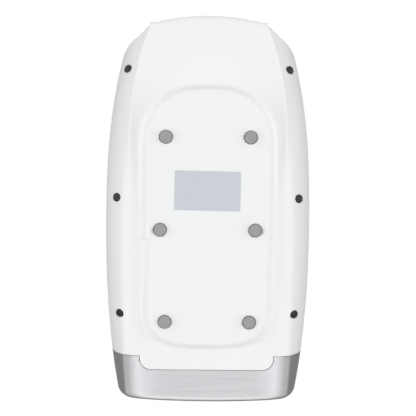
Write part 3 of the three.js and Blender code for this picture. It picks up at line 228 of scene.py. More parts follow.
# Height of the platform's side against its flare: beside, in front, behind and in the relief
PLAIN_SIDE = softened((0, 0.12, 0.24, 0.66, 0.78, 1), (0, 0.03, 0.12, 0.9, 0.97, 1), 0.12)
FRONT_SIDE = softened((0, 0.1, 0.2, 0.5, 0.8, 1), (0, 0.1, 0.34, 0.84, 0.97, 1), 0.14)
REAR_SIDE = softened((0, 0.25, 0.5, 0.8, 0.93, 1), (0, 0.04, 0.17, 0.66, 0.95, 1), 0.12)
RELIEF_SIDE = softened((0, 0.05, 0.16, 0.4, 0.7, 1), (0, 0.3, 0.62, 0.86, 0.97, 1), 0.1)


def platform_drop(x, y, inset):
    """How far the platform's surface lies above its face, as a share of the platform's rise."""
    share = platform_share(x, y) + inset / SIDE_FLARE
    plain = np.interp(share, *PLAIN_SIDE)
    ahead = smooth((SHOULDER_Y - y) / FRONT_RUN * FRONT_BLEND)
    plain += (np.interp(share, *FRONT_SIDE) - plain) * ahead
    behind = smooth((y - HEEL_Y) / REAR_RUN * REAR_BLEND)
    plain += (np.interp(share, *REAR_SIDE) - plain) * behind
    relief = np.interp(share, *RELIEF_SIDE)
    past = (y - RELIEF_Y) / RELIEF_LENGTH
    depth = np.where((x < 0) & (past > 0), np.clip(1 - past, 0, 1) ** RELIEF_FADE, 0)
    return plain + (relief - plain) * depth


def curve(a, control, b, shares):
    """Points of a quadratic curve in each row, from a to b."""
    a, control, b, s = a[:, None], control[:, None], b[:, None], shares[..., None]
    return a * (1 - s) ** 2 + control * 2 * s * (1 - s) + b * s * s


def sole_height(y):
    """The sole is flat, but curls up towards the lip."""
    return SOLE + CAMBER * np.clip((CAMBER_START - y) / CAMBER_RUN, 0, 1) ** 2


def ridge_points(y, inside=False):
    """The ridge's corners and how far each is rounded, at each y; rounder inside the wall."""
    crisp = 1 - smooth((y - CRISP_START) / (CRISP_END - CRISP_START))[:, None, None]
    ridge, trim = (INNER_RIDGE, INNER_TRIM) if inside else (CRISP_RIDGE, CRISP_TRIM)
    corners = crisp * ridge + (1 - crisp) * ROUND_RIDGE
    corners = corners + np.stack([ridge_half(y), sole_height(y)], 1)[:, None]
    return corners, crisp[:, :, 0] * trim + (1 - crisp[:, :, 0]) * ROUND_TRIM


def flank_ends(y):
    """The ends and the control point of the flank's curve at each y."""
    foot = ridge_points(y)[0][:, 2]
    limb = limb_half(y)
    control = np.stack([limb, foot[:, 1] + (LIMB_HEIGHT - foot[:, 1]) * FLANK_CONTROL], 1)
    return foot, control, np.stack([limb, np.full_like(y, LIMB_HEIGHT)], 1)


def flank_share(y, z):
    """Share along the flank's curve at which it reaches height z."""
    foot, control, top = (point[:, 1] for point in flank_ends(y))
    a, b = foot - 2 * control + top, 2 * (control - foot)
    return (-b + np.sqrt(b * b - 4 * a * (foot - z))) / (2 * a)


def flank(y, start, end, shares):
    """Points of the flank at each y, between two shares along its curve."""
    return curve(*flank_ends(y), start[:, None] + (end - start)[:, None] * shares)


def sole_side(y, inside):
    """Sole and rounded ridge at each y, and the share at which the flank starts."""
    corners, trims = ridge_points(y, inside)
    foot, control, _ = flank_ends(y)
    before = np.hstack([np.stack([0 * y, sole_height(y)], 1)[:, None], corners[:, :-1]])
    after = np.hstack([corners[:, 1:], control[:, None]])
    parts = []
    for i in range(3):
        back = before[:, i] - corners[:, i]
        ahead = after[:, i] - corners[:, i]
        trim = trims[:, i:i + 1]
        start = corners[:, i] + unit(back) * trim
        end = corners[:, i] + unit(ahead) * trim
        if i == 0:
            steps = np.arange(SOLE_STEPS)[None, :, None] / SOLE_STEPS
            parts.append(before[:, :1] + (start - before[:, 0])[:, None] * steps)
        parts.append(curve(start, corners[:, i], end, np.linspace(0, 1, FILLET_STEPS)))
    length = np.linalg.norm(control - foot, axis=1)
    return np.hstack(parts), trims[:, 2] / (2 * length)


def roof_side(y):
    """Side and roof above the widest line at each y."""
    turn = np.arange(1, ROOF_STEPS + 1) / ROOF_STEPS * pi / 2
    across = np.cos(turn) ** (2 / ROOF_POWER)
    across[-1] = 0
    up = np.sin(turn) ** (2 / ROOF_POWER)
    x = limb_half(y)[:, None] * across
    z = LIMB_HEIGHT + (roof_height(y) - LIMB_HEIGHT)[:, None] * up
    return np.stack([x, z], 2)


def inset_section(points, inset, part):
    """Draws a half section in by an amount along its own normals."""
    if inset == 0:
        return points
    first, last = points[:, :1], points[:, -1:]
    before = 2 * first - points[:, 1:2] if part == "upper" else first * [-1, 1]
    after = 2 * last - points[:, -2:-1] if part == "lower" else last * [-1, 1]
    along = unit(np.hstack([points[:, 1:], after]) - np.hstack([before, points[:, :-1]]))
    return points + np.stack([-along[:, :, 1], along[:, :, 0]], 2) * inset


def half_section(y, part, inset=0.0):
    """Right half of the section at each y, of the lower or upper shell or of the whole housing."""
    y = np.asarray(y, float)
    sole, start = sole_side(y, inset > 0)
    rim = GAP + (EDGE if inset == 0 else 0)
    top = np.ones_like(y)
    if part == "lower":
        points = [sole, flank(y, start, flank_share(y, PARTING - rim), LOW_FLANK)]
    elif part == "upper":
        points = [flank(y, flank_share(y, PARTING + rim), top, HIGH_FLANK), roof_side(y)]
    else:
        points = [sole, flank(y, start, top, WHOLE_FLANK), roof_side(y)]
    return inset_section(np.hstack(points), inset, part)


def mouth_lean(z):
    """How far the mouth's edge lies behind the lip's ends: a shoulder, then a lean."""
    height = np.maximum(z - SOLE - CAMBER, 0)
    return SHOULDER * (1 - np.exp(-height / SHOULDER_RISE)) + height * LEAN


def mouth_y(x, z, setback):
    """Where the edge of the mouth lies: an arc along the lip, and leaning back above it."""
    share = np.minimum(np.abs(x) / LIP_HALF, 1)
    return LIP_REACH * share * share - HALF_LENGTH + setback + mouth_lean(z)


def settled(y, part, inset, front):
    """Where a leaning front, whose y is known at (x, z), crosses each column of a section."""
    columns = np.arange(half_section(np.zeros(1), part).shape[1])
    edge = np.full(len(columns), y)
    for _ in range(EDGE_ROUNDS):
        section = half_section(edge, part, inset)[columns, columns]
        edge = front(section[:, 0], section[:, 1])
    return section, edge


def grid(part, front, y_front, y_rear, bands, special, inset=0.0):
    """Half sections from the leaning front edge back to y_rear, level from y_front on."""
    edge = settled(y_front, part, inset, front)[1]
    level = np.unique(np.hstack([np.arange(y_front, y_rear, GRID), y_rear, special]))
    ahead = edge + (y_front - edge) * np.insert(np.arange(bands) / bands, 1, CLOSE)[:, None]
    rows = np.vstack([ahead, np.repeat(level[:, None], len(edge), 1)])
    points = np.empty(rows.shape + (3,))
    for j in range(len(edge)):
        section = half_section(rows[:, j], part, inset)[:, j]
        points[:, j] = np.stack([section[:, 0], rows[:, j], section[:, 1]], 1)
    return both_sides(points, part)


def both_sides(points, part):
    """Columns right round, from the right half's: open for a shell, closed for the whole."""
    other = points * [-1, 1, 1]
    if part == "lower":
        return np.hstack([other[:, :0:-1], points])
    return np.hstack([points, other[:, -2::-1] if part == "upper" else other[:, -2:0:-1]])


def raise_platform(points, inset=0.0):
    """Lets the platform out of the sole of a grid."""
    drop = platform_drop(points[..., 0], points[..., 1], inset)
    points[..., 2] -= (SOLE - FACE) * (1 - drop) * (points[..., 2] < LIMB_HEIGHT)
    return points


def grid_normals(points, closed):
    """The outward direction at each point of a grid."""
    if closed:
        across = np.roll(points, -1, 1) - np.roll(points, 1, 1)
    else:
        across = np.gradient(points, axis=1)
    return unit(np.cross(np.gradient(points, axis=0), across))


# Bodies
def linked(name, data):
    """A new object in the scene."""
    piece = bpy.data.objects.new(name, data)
    bpy.context.scene.collection.objects.link(piece)
    return piece


def made(name, points, faces):
    """A new object from points and faces."""
    mesh = bpy.data.meshes.new(name)
    mesh.from_pydata([tuple(p) for p in points], [], faces)
    mesh.validate()
    return linked(name, mesh)


def quads(rows, columns, closed, start=0, flip=False):
    """The faces of a grid of points, numbered from start."""
    faces = []
    for i in range(rows - 1):
        for j in range(columns if closed else columns - 1):
            a, b = start + i * columns, start + (i + 1) * columns
            after = (j + 1) % columns
            face = [a + j, b + j, b + after, a + after]
            faces.append(face[::-1] if flip else face)
    return faces


def picked(count, step, closed=False):
    """Indices that keep about one in step, with both ends."""
    if closed:
        places = np.linspace(0, count, count // step + 1)[:-1]
    else:
        places = np.linspace(0, count - 1, (count - 1) // step + 2)
    return np.unique(np.round(places).astype(int))


def edge_loop(rows, columns):
    """Grid places around an open sheet, starting along its front edge."""
    half = [(0, j) for j in range(columns)] + [(i, columns - 1) for i in range(1, rows)]
    return half + [(rows - 1 - i, columns - 1 - j) for i, j in half[1:-1]]


def walled(name, outer, inner, radius, closed=False, thin=4, turns=3):
    """A wall between two matching grids, its front edge rounded by radius(z). The inside keeps
    one in thin of its rows and columns, and a closed wall has its rear covered."""
    rows, columns = outer.shape[:2]
    keep_rows, keep_columns = picked(rows, thin), picked(columns, thin, closed)
    normal = grid_normals(outer, closed)
    loop = [(0, j) for j in range(columns)] if closed else edge_loop(rows, columns)
    row, column = np.array(loop).T
    rim, out = outer[row, column], normal[row, column]
    along = np.roll(rim, -1, 0) - np.roll(rim, 1, 0)
    if not closed:
        corner = columns - 1
        along[0], along[corner] = rim[1] - rim[0], rim[corner] - rim[corner - 1]
    outward = unit(np.cross(out, along))
    reach = np.array([EDGE if i else radius(outer[i, j, 2]) for i, j in loop])[:, None]
    points = [outer.reshape(-1, 3)]
    faces = quads(rows, columns, closed)
    count, size = rows * columns, len(loop)
    last = [i * columns + j for i, j in loop]
    for turn in range(1, turns + 1):
        angle = pi / 2 * turn / turns
        bent = outward * sin(angle) - out * (1 - cos(angle))
        points.append(rim + bent * reach)
        ring = [count + k for k in range(size)]
        for k in range(size):
            after = (k + 1) % size
            faces.append([last[k], last[after], ring[after], ring[k]])
        last, count = ring, count + size
    points.append(inner[np.ix_(keep_rows, keep_columns)].reshape(-1, 3))
    inside = {}
    for a, i in enumerate(keep_rows):
        for b, j in enumerate(keep_columns):
            inside[i, j] = count + a * len(keep_columns) + b
    faces += quads(len(keep_rows), len(keep_columns), closed, count, flip=True)
    stops = [k for k, place in enumerate(loop) if place in inside]
    for k, end in zip(stops, stops[1:] + stops[:1]):
        run = [last[m % size] for m in range(k, end + 1 if end > k else end + size + 1)]
        faces.append(run + [inside[loop[end]], inside[loop[k]]])
    if closed:
        faces.append([(rows - 1) * columns + j for j in range(columns)][::-1])
        faces.append([inside[rows - 1, j] for j in keep_columns])
    return made(name, np.vstack(points), faces)


def stacked(name, loops, ring=False):
    """A closed body through matching loops, covered at its ends or, as a ring, joined up."""
    loops = np.array(loops, float)
    rows, columns = loops.shape[:2]
    faces = quads(rows, columns, True)
    first = list(range(columns))
    last = [(rows - 1) * columns + j for j in first]
    if ring:
        faces += [[last[j], j, (j + 1) % columns, last[(j + 1) % columns]] for j in first]
    else:
        faces += [last[::-1], first]
    return made(name, loops.reshape(-1, 3), faces)


def prism(name, outline, low, high):
    """An outline in plan, anticlockwise, drawn up from low to high."""
    count = len(outline)
    points = [(x, y, z) for z in (low, high) for x, y in outline]
    faces = [list(range(count))[::-1], list(range(count, 2 * count))]
    faces += [[k, (k + 1) % count, count + (k + 1) % count, count + k] for k in range(count)]
    return made(name, points, faces)


def turned(name, profile, centre, steps, axis="z"):
    """A profile of (radius, height) turned about an axis; a radius of 0 closes an end."""
    points, faces, rings = [], [], []
    for radius, height in profile:
        if radius == 0:
            rings.append([len(points)] * steps)
            points.append((0, 0, height))
            continue
        rings.append([len(points) + k for k in range(steps)])
        for k in range(steps):
            angle = 2 * pi * k / steps
            points.append((radius * cos(angle), radius * sin(angle), height))
    for low, high in zip(rings, rings[1:]):
        for k in range(steps):
            after = (k + 1) % steps
            faces.append(list(dict.fromkeys([low[k], low[after], high[after], high[k]])))
    points = np.array(points)
    if axis == "y":
        points = points[:, [1, 2, 0]]
    return made(name, points + np.array(centre), faces)


def upright(name, radius, low, high, centre, steps):
    """A plain round bar, to cut with."""
    return turned(name, [(0, low), (radius, low), (radius, high), (0, high)], centre, steps)


def rounded(half_x, half_y, radius, centre, steps):
    """A rectangle with rounded corners in plan, anticlockwise."""
    outline = []
    for quarter, (sx, sy) in enumerate([(1, 1), (-1, 1), (-1, -1), (1, -1)]):
        for k in range(steps + 1):
            angle = pi / 2 * (quarter + k / steps)
            x = sx * (half_x - radius) + radius * cos(angle)
            y = sy * (half_y - radius) + radius * sin(angle)
            outline.append((centre[0] + x, centre[1] + y))
    return outline


def combine(piece, others, operation):
    """Adds, takes away or keeps what other bodies share with the piece, and removes them."""
    for other in others:
        change = piece.modifiers.new("combine", "BOOLEAN")
        change.operation, change.solver, change.object = operation, "MANIFOLD", other
        changed = piece.evaluated_get(bpy.context.evaluated_depsgraph_get())
        result = bpy.data.meshes.new_from_object(changed)
        piece.modifiers.clear()
        piece.data = result
        bpy.data.objects.remove(other)
    return piece


def joined(name, meshes, weld=0):
    """One object from one or more meshes, welded at a distance."""
    shape = bmesh.new()
    for mesh in meshes:
        shape.from_mesh(mesh)
    if weld:
        bmesh.ops.remove_doubles(shape, verts=shape.verts, dist=weld)
    mesh = bpy.data.meshes.new(name)
    shape.to_mesh(mesh)
    shape.free()
    return linked(name, mesh)


def placed(piece, body, slot, *nodes, finish=None, angle=32):
    """Finishes a piece: smooth faces with sharp edges, its material, its body and its nodes."""
    piece.data.materials.clear()
    piece.data.materials.append(FINISHES[finish or slot])
    piece.data.shade_smooth()
    piece.data.set_sharp_from_angle(angle=radians(angle))
    if nodes:
        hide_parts(*nodes)
    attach(piece, body)
    return piece


def middle_of(node):
    low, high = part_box(node)
    return (low + high) / 2


def spot(node):
    """The middle of a CAD node in plan, at the floor."""
    return (*middle_of(node).xy, 0)


def radius_of(node):
    """Half of the width of a CAD node."""
    low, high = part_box(node)
    return (high.x - low.x) / 2


# Materials
ONE_RIB = 0.314  # scale of a wave texture with one rib to the metre


def added(tree, kind, output, inputs={}, **settings):
    """Adds a shader node; its inputs are values or other nodes' outputs."""
    node = tree.nodes.new("ShaderNode" + kind)
    for name, value in settings.items():
        setattr(node, name, value)
    feed(tree, node, inputs)
    return node.outputs[output]


def feed(tree, node, inputs):
    """Sets or links the inputs of a node."""
    for name, value in inputs.items():
        if isinstance(value, bpy.types.NodeSocket):
            tree.links.new(value, node.inputs[name])
        else:
            node.inputs[name].default_value = value


def noise(tree, scale, detail=3.0, stretch=(1, 1, 1)):
    """A noise texture fixed to the part, in features per metre."""
    place = added(tree, "TexCoord", "Object")
    place = added(tree, "Mapping", "Vector", {"Scale": stretch, "Vector": place})
    return added(tree, "TexNoise", "Fac", {
        "Scale": scale, "Detail": detail, "Roughness": 0.55, "Vector": place})


def ranged(tree, value, low, high, start=0.3, end=0.7):
    """A value between start and end, brought to between low and high."""
    return added(tree, "MapRange", "Result", {
        "From Min": start, "From Max": end, "To Min": low, "To Max": high, "Value": value})


def computed(tree, operation, a, b):
    """A sum, product or maximum of two values."""
    return added(tree, "Math", "Value", {0: a, 1: b}, operation=operation)


def clouded(tree, scale, stretch, low, high):
    """A colour that drifts between two."""
    cloud = ranged(tree, noise(tree, scale, stretch=stretch), 0, 1)
    return added(tree, "Mix", "Result", {"Factor": cloud, "A": low, "B": high}, data_type="RGBA")


def looks(name, kind="Principled BSDF"):
    """A new material, its node tree and its shader."""
    material = bpy.data.materials.new(name)
    material.use_nodes = True
    return material, material.node_tree, material.node_tree.nodes[kind]


def finish_of(name, colour, roughness, sockets={}, spread=0.03, scale=60, grain=2500, height=0.02,
              wear=0.05, stretch=(1, 1, 1)):
    """A moulded or metal finish: slight cloudiness, varying roughness and a fine grain. Its
    height is in millimetres."""
    material, tree, shader = looks(name)
    low = [c * (1 - spread) for c in colour] + [1]
    high = [min(c * (1 + spread), 1) for c in colour] + [1]
    grains = noise(tree, grain, 2, stretch)
    feed(tree, shader, {
        "Base Color": clouded(tree, scale, stretch, low, high),
        "Roughness": ranged(tree, grains, roughness - wear, roughness + wear),
        "Normal": added(tree, "Bump", "Normal", {
            "Strength": 0.6, "Distance": height * MM, "Height": grains}), **sockets})
    return material


def knitted(name, colour, pitch, height):
    """Fabric: crossed runs of ribs, and a colour that drifts."""
    material, tree, shader = looks(name)
    place = added(tree, "TexCoord", "Object")
    total = None
    for direction in ("X", "Y", "Z"):
        wave = added(tree, "TexWave", "Fac", {
            "Scale": ONE_RIB / pitch, "Distortion": 1.2, "Detail Scale": 4, "Vector": place},
            bands_direction=direction)
        total = wave if total is None else computed(tree, "MULTIPLY", total, wave)
    dark = [c * 0.8 for c in colour] + [1]
    feed(tree, shader, {
        "Base Color": clouded(tree, 90, (1, 1, 1), dark, list(colour) + [1]),
        "Normal": added(tree, "Bump", "Normal", {
            "Strength": 0.8, "Distance": height, "Height": total}),
        "Roughness": 0.9, "Sheen Weight": 0.3})
    return material


# By slot: name, colour, roughness, sockets, spread, scale, grain, height, wear and stretch
METAL, MILKY = {"Metallic": 1}, {"Subsurface Weight": 0.4}
FINISHES = {slot: finish_of(*look) for slot, look in {
    "white_shell": ("white_abs", (0.885, 0.893, 0.897), 0.42, {}, 0.006, 45, 3200, 0.012),
    "silver_cap": ("brushed_silver", (0.76, 0.765, 0.785), 0.38, METAL, 0.03, 700, 2400, 0.006,
                   0.05, (0.012, 1, 1)),
    "mouth_trim": ("satin_trim", (0.63, 0.64, 0.65), 0.34, {}, 0.02),
    "panel": ("gloss_panel", (0.86, 0.868, 0.875), 0.16, {"Coat Weight": 0.4}, 0.004, 30, 2400,
              0.004, 0.02),
    "button": ("button_grey", (0.74, 0.75, 0.765), 0.34, {}, 0.01),
    "symbol": ("icon_ink", (0.14, 0.15, 0.165), 0.5),
    "light_guide": ("light_guide", (0.82, 0.9, 0.93), 0.3, MILKY, 0.01),
    "rubber_grey": ("rubber_grey", (0.34, 0.345, 0.35), 0.72, {}, 0.06, 500, 4200, 0.04),
    # Screws: near-black, darker than their steel: painted shade for their deep pockets
    "screw_steel": ("screw_steel", (0.1, 0.1, 0.105), 0.42, METAL, 0.08, 700, 5200, 0.01),
    "label": ("label_film", (0.585, 0.625, 0.665), 0.5, {}, 0.012, 120, 5200, 0.008),
    "airbag": ("airbag_film", (0.68, 0.72, 0.76), 0.3, {}, 0.03, 200, 900, 0.05),
    "inner_frame": ("inner_abs", (0.56, 0.565, 0.57), 0.5),
    "palm_plate": ("palm_plate_abs", (0.31, 0.33, 0.36), 0.48),
    "heating_film": ("heating_film", (0.68, 0.3, 0.07), 0.28, {}, 0.1, 400),
    "battery": ("battery_wrap", (0.03, 0.11, 0.36), 0.36, {}, 0.08),
    "board": ("board_mask", (0.02, 0.17, 0.07), 0.34, {}, 0.15, 600),
    "ribbon": ("ribbon_film", (0.78, 0.77, 0.72), 0.4),
    "pump_plastic": ("pump_plastic", (0.045, 0.047, 0.05), 0.42, {}, 0.1),
    "motor_steel": ("motor_steel", (0.52, 0.52, 0.54), 0.3, METAL, 0.06, 500, 3000, 0.01,
                    0.05, (0.1, 1, 1)),
    "hose": ("hose_silicone", (0.74, 0.75, 0.74), 0.32, {"Subsurface Weight": 0.2}),
}.items()}
FINISHES["liner"] = knitted("liner_knit", (0.36, 0.38, 0.41), 1.1 * MM, 0.25 * MM)
for entry in frame["record"]["subparts"]:
    thing = frame["nodes"][entry["node"]]
    thing.data.materials.clear()
    thing.data.materials.append(FINISHES[entry["material_slot"]])


# Housing: its skin, where its level rows start behind the leaning front, and rows before that
SKIN = WALL - 0.4 * MM
SKIN_TRIM = 0.3 * MM
LOWER_FRONT, LOWER_ROWS = -99 * MM, 12
UPPER_FRONT, UPPER_ROWS = -84 * MM, 18
LAP = 2 * MM
SHADOW_STEP, SHADOW_RUN = 0.4 * MM, 2.5 * MM
TAB_STEPS = 10
END_STEPS = 8
END_SHARES = (0.9, 0.7, 0.45, 0.2)
ANCHOR_INSET = WALL / 2
ANCHOR_FRONT = -82 * MM
ANCHOR_DRAW = 0.96


def lip_radius(z):
    """How far the front edge of a shell is rounded: fully along the lip, less above it."""
    share = smooth((z - SOLE - CAMBER) / LIP_RADIUS)
    return LIP_BEND + (LIP_RADIUS - LIP_BEND) * (1 - share)


def mouth_front(x, z):
    return mouth_y(x, z, lip_radius(z))


def inner_front(x, z):
    share = 1 - smooth((z - SOLE - CAMBER - SKIN) / LIP_RADIUS)
    return mouth_y(x, z, share * (LIP_RADIUS / 2 - SKIN_TRIM))


def tab_outline(gap, low=None):
    """The end of the lower shell's tab in plan, let out by a gap, and its sides from low."""
    half, radius, end = TAB_HALF + gap, TAB_RADIUS + gap, TAB_END + gap
    turn = [pi / 2 * k / TAB_STEPS for k in range(TAB_STEPS + 1)]
    right = [(half - radius + radius * cos(a), end - radius + radius * sin(a)) for a in turn]
    left = [(-x, y) for x, y in reversed(right)]
    return ([] if low is None else [(-half, low), (half, low)]) + right + left


def skins(*form):
    """The outer and inner grid of a shell."""
    return grid(form[0], mouth_front, *form[1:]), grid(form[0], inner_front, *form[1:], SKIN)


outer, inner = skins("lower", LOWER_FRONT, TAB_END + LAP, LOWER_ROWS, (RELIEF_Y, RELIEF_Y + GAP))
lower = walled("casing_lower", raise_platform(outer), raise_platform(inner, SKIN), lip_radius)
far_x, far_y, seam = HALF_WIDTH + BEYOND, HALF_LENGTH + BEYOND, SEAM_Y - GAP
notch = [(far_x, seam), (far_x, far_y), (-far_x, far_y), (-far_x, seam), (GAP - TAB_HALF, seam)]
notch += tab_outline(-GAP)[::-1] + [(TAB_HALF - GAP, seam)]
combine(lower, [prism("behind_seam", notch, -BEYOND, LIMB_HEIGHT)], "DIFFERENCE")

outer, inner = skins("upper", UPPER_FRONT, seam - EDGE, UPPER_ROWS, ())
near = np.exp((PARTING + GAP - outer[..., 2]) / SHADOW_RUN) * (outer[..., 2] < LIMB_HEIGHT)
outer[..., 0] -= np.sign(outer[..., 0]) * SHADOW_STEP * near
upper = walled("casing_upper", outer, inner, lip_radius)


def cap_grid(inset):
    """The tail cap from its seam to the middle of its end wall."""
    straight = HALF_LENGTH - END_RADIUS
    radius = END_RADIUS - inset
    rows = np.append(np.arange(SEAM_Y + GAP + EDGE, straight, GRID), straight)
    steps = [(y, 0, y) for y in rows]
    for step in range(1, END_STEPS + 1):
        angle = pi / 2 * step / END_STEPS
        steps.append((straight, radius * (1 - cos(angle)), straight + radius * sin(angle)))
    rings = []
    for section_y, drawn, y in steps:
        section = half_section([section_y], "whole", inset + drawn)[0]
        rings.append(np.insert(section, 1, y, axis=1))
    middle = np.array([0, HALF_LENGTH - inset, LIMB_HEIGHT])
    rings += [middle + (rings[-1] - middle) * share for share in END_SHARES]
    points = both_sides(np.array(rings), "whole")
    share = np.clip((points[..., 1] - TAB_END) / (HALF_LENGTH - TAB_END), 0, 1)
    points[..., 1] -= END_BOW * share * (points[..., 0] / RIDGE_HALF) ** 2
    return points


cap = walled("casing_tail", cap_grid(0), cap_grid(SKIN), lambda z: EDGE, closed=True)
tab = prism("tab_notch", tab_outline(GAP, SEAM_Y - BEYOND), -BEYOND, SOLE + BEYOND / 2)
combine(cap, [tab], "DIFFERENCE")


def anchor_body():
    """The housing drawn in by half its wall, to which the bosses and posts inside are cut."""
    points = grid("whole", lambda x, z: mouth_y(x, z, LIP_RADIUS), ANCHOR_FRONT,
                  HALF_LENGTH - END_RADIUS, UPPER_ROWS, (), ANCHOR_INSET)
    back = END_RADIUS - ANCHOR_INSET
    last = points[-1:] + np.array([[[0, back / 2, 0]], [[0, back, 0]]])
    middle = np.array([0, 0, LIMB_HEIGHT])
    last[1] = middle + (last[1] - middle) * [ANCHOR_DRAW, 1, ANCHOR_DRAW]
    return stacked("anchor", raise_platform(np.vstack([points, last]), ANCHOR_INSET))


for casing, node in ((lower, "lower_shell"), (upper, "upper_shell"), (cap, "tail_cap")):
    fittings = joined("fittings", [frame["nodes"][node].data], WELD)
    combine(casing, [combine(fittings, [anchor_body()], "INTERSECT")], "UNION")


# Feet, screws and their pockets. Profiles are in millimetres, or in shares of the radius
FEET = [f"rubber_foot_{i}" for i in range(1, 7)]
SCREWS = [f"housing_screw_{i}" for i in range(1, 7)]
FOOT_RADIUS = radius_of(FEET[0])
FOOT_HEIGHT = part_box(FEET[0])[1].z
HEAD_RADIUS = radius_of(SCREWS[0])
HEAD_HEIGHT = 2.2 * MM
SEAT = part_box(SCREWS[0])[0].z + HEAD_HEIGHT
FOOT_DISH = 0.3 * MM
FOOT_RIM = ((1.9, 0.3), (1.6, 0.22), (1.4, 0.04), (1.25, 0), (0.85, 0), (0.6, 0.08),
            (0.45, 0.3), (0.4, 0.6))
FOOT_FLANGE = ((0.4, 0.7), (0, 0.6), (0, 0.2), (0.2, 0))
HEAD_CROWN = ((0, 0), (0.72, 0.06), (0.93, 0.4), (1, 1))
HEAD_BEVEL = 0.1 * MM
THREAD_PITCH, THREAD_RADIUS, THREAD_DEPTH = 1.1 * MM, 1.5 * MM, 0.28 * MM
THREAD_ROOT, POINT_RADIUS = 0.15 * MM, 0.3 * MM
CROSS_LONG, CROSS_WIDE, CROSS_CORNER, CROSS_DEPTH = 1.5 * MM, 0.27 * MM, 0.1 * MM, 1.3 * MM

bores = []
for node in FEET + SCREWS:
    radius, top = (FOOT_RADIUS, FOOT_HEIGHT) if node in FEET else (HEAD_RADIUS, SEAT)
    bores.append(upright("bore", radius + CLEARANCE, -BEYOND, top + CLEARANCE, spot(node), 48))
combine(lower, bores, "DIFFERENCE")
placed(lower, "housing", "white_shell", "lower_shell")

SOCKET_HALF = (4.5 * MM + CLEARANCE, 1.6 * MM + CLEARANCE)
outline = rounded(*SOCKET_HALF, SOCKET_HALF[1], (0, 0), 10)
hole = prism("socket_hole", outline, HALF_LENGTH - 2 * WALL, HALF_LENGTH + BEYOND)
for vertex in hole.data.vertices:
    across, up, along = vertex.co
    vertex.co = (-across, along, middle_of("charging_socket").z + up)
combine(cap, [hole], "DIFFERENCE")
placed(cap, "housing", "silver_cap", "tail_cap")

for node in FEET:
    profile = [(0, FOOT_DISH)]
    profile += [(FOOT_RADIUS - inward * MM, rise * MM) for inward, rise in FOOT_RIM]
    profile += [(FOOT_RADIUS - inward * MM, FOOT_HEIGHT - fall * MM)
                for inward, fall in FOOT_FLANGE]
    profile.append((0, FOOT_HEIGHT))
    placed(turned("pad_" + node[-1], profile, spot(node), 56), "housing", "rubber_grey", node)

for node in SCREWS:
    low, high = (corner.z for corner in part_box(node))
    profile = [(HEAD_RADIUS * share, low + rise * MM) for share, rise in HEAD_CROWN]
    profile += [(HEAD_RADIUS, SEAT - HEAD_BEVEL), (HEAD_RADIUS - HEAD_BEVEL, SEAT)]
    turn = SEAT
    while turn + THREAD_PITCH < high - MM:
        profile += [(THREAD_RADIUS - THREAD_DEPTH, turn + THREAD_ROOT),
                    (THREAD_RADIUS, turn + THREAD_PITCH / 2)]
        turn += THREAD_PITCH
    profile += [(THREAD_RADIUS - THREAD_DEPTH, turn), (POINT_RADIUS, high), (0, high)]
    screw = turned("screw_" + node[-1], profile, spot(node), 28)
    bars = [prism("bar", rounded(*half, CROSS_CORNER, spot(node), 2), low - MM, low + CROSS_DEPTH)
            for half in ((CROSS_LONG, CROSS_WIDE), (CROSS_WIDE, CROSS_LONG))]
    combine(screw, bars, "DIFFERENCE")
    placed(screw, "housing", "screw_steel", node, angle=40)


# Bare plate where the label goes: how far each loop is let out and lies above the face
PLATE_HALF = (20 * MM, 12 * MM)
PLATE_CENTRE = (-0.2 * MM, CROWN_Y - 0.3 * MM)
PLATE_TURN = radians(0.9)
PLATE_CORNER = 0.5 * MM
PLATE_LEVELS = ((0, 0.05 * MM), (0, -0.08 * MM), (-0.08 * MM, -0.15 * MM))
loops = []
cosine, sine = cos(PLATE_TURN), sin(PLATE_TURN)
for margin, rise in PLATE_LEVELS:
    half = (PLATE_HALF[0] + margin, PLATE_HALF[1] + margin)
    flat = np.array(rounded(*half, PLATE_CORNER + margin, (0, 0), 6))
    flat = flat @ [[cosine, sine], [-sine, cosine]] + PLATE_CENTRE
    loops.append([(x, y, FACE + rise) for x, y in flat])
placed(stacked("bare_plate", loops), "housing", "panel", finish="label")


# Ring in the mouth: a band against the housing, and a funnel to the pocket. Rows of its lip are
# how far along the funnel, let out and set back, the last two in millimetres
AROUND = 160
CORNER_STEPS = 16
RING_FIT = WALL + CLEARANCE
RING_RIM = 2.4 * MM
RING_DEPTH = 8 * MM
RING_BAND = 1.8 * MM
RING_SETBACK = 1.5 * MM
RING_GUESS = -100 * MM
RING_EDGE = ((0, RING_DEPTH), (0, 0.5 * MM), (0.15 * MM, 0.12 * MM), (0.5 * MM, 0))
RING_LIP = ((0, 0.9, 0.05), (0, 0.35, 0.22), (0.01, 0, 0.75))
FUNNEL_RADIUS = 26 * MM
FUNNEL_START = 0.5
FUNNEL_WALL = 1.6 * MM
FUNNEL_FRONT, FUNNEL_BACK = 0.75 * MM, 2 * MM
FUNNEL_STEPS, BACK_STEPS, FACE_STEPS = 12, 6, 12
BAND_FRONT, BAND_BACK = 2.1 * MM, 2.2 * MM
LINER_INSET = 17 * MM
LINER_WALL = 2 * MM
LINER_RADIUS = 10 * MM
LINER_SETBACK = 9.8 * MM
LINER_LOW, LINER_HIGH = (corner.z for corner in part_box("hand_liner"))
LINER_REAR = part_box("hand_liner")[1].y


def mouth_plane(z, setback):
    """Where the leaning plane of the mouth lies at a height, away from the lip."""
    return -HALF_LENGTH + LIP_REACH + setback + mouth_lean(z)


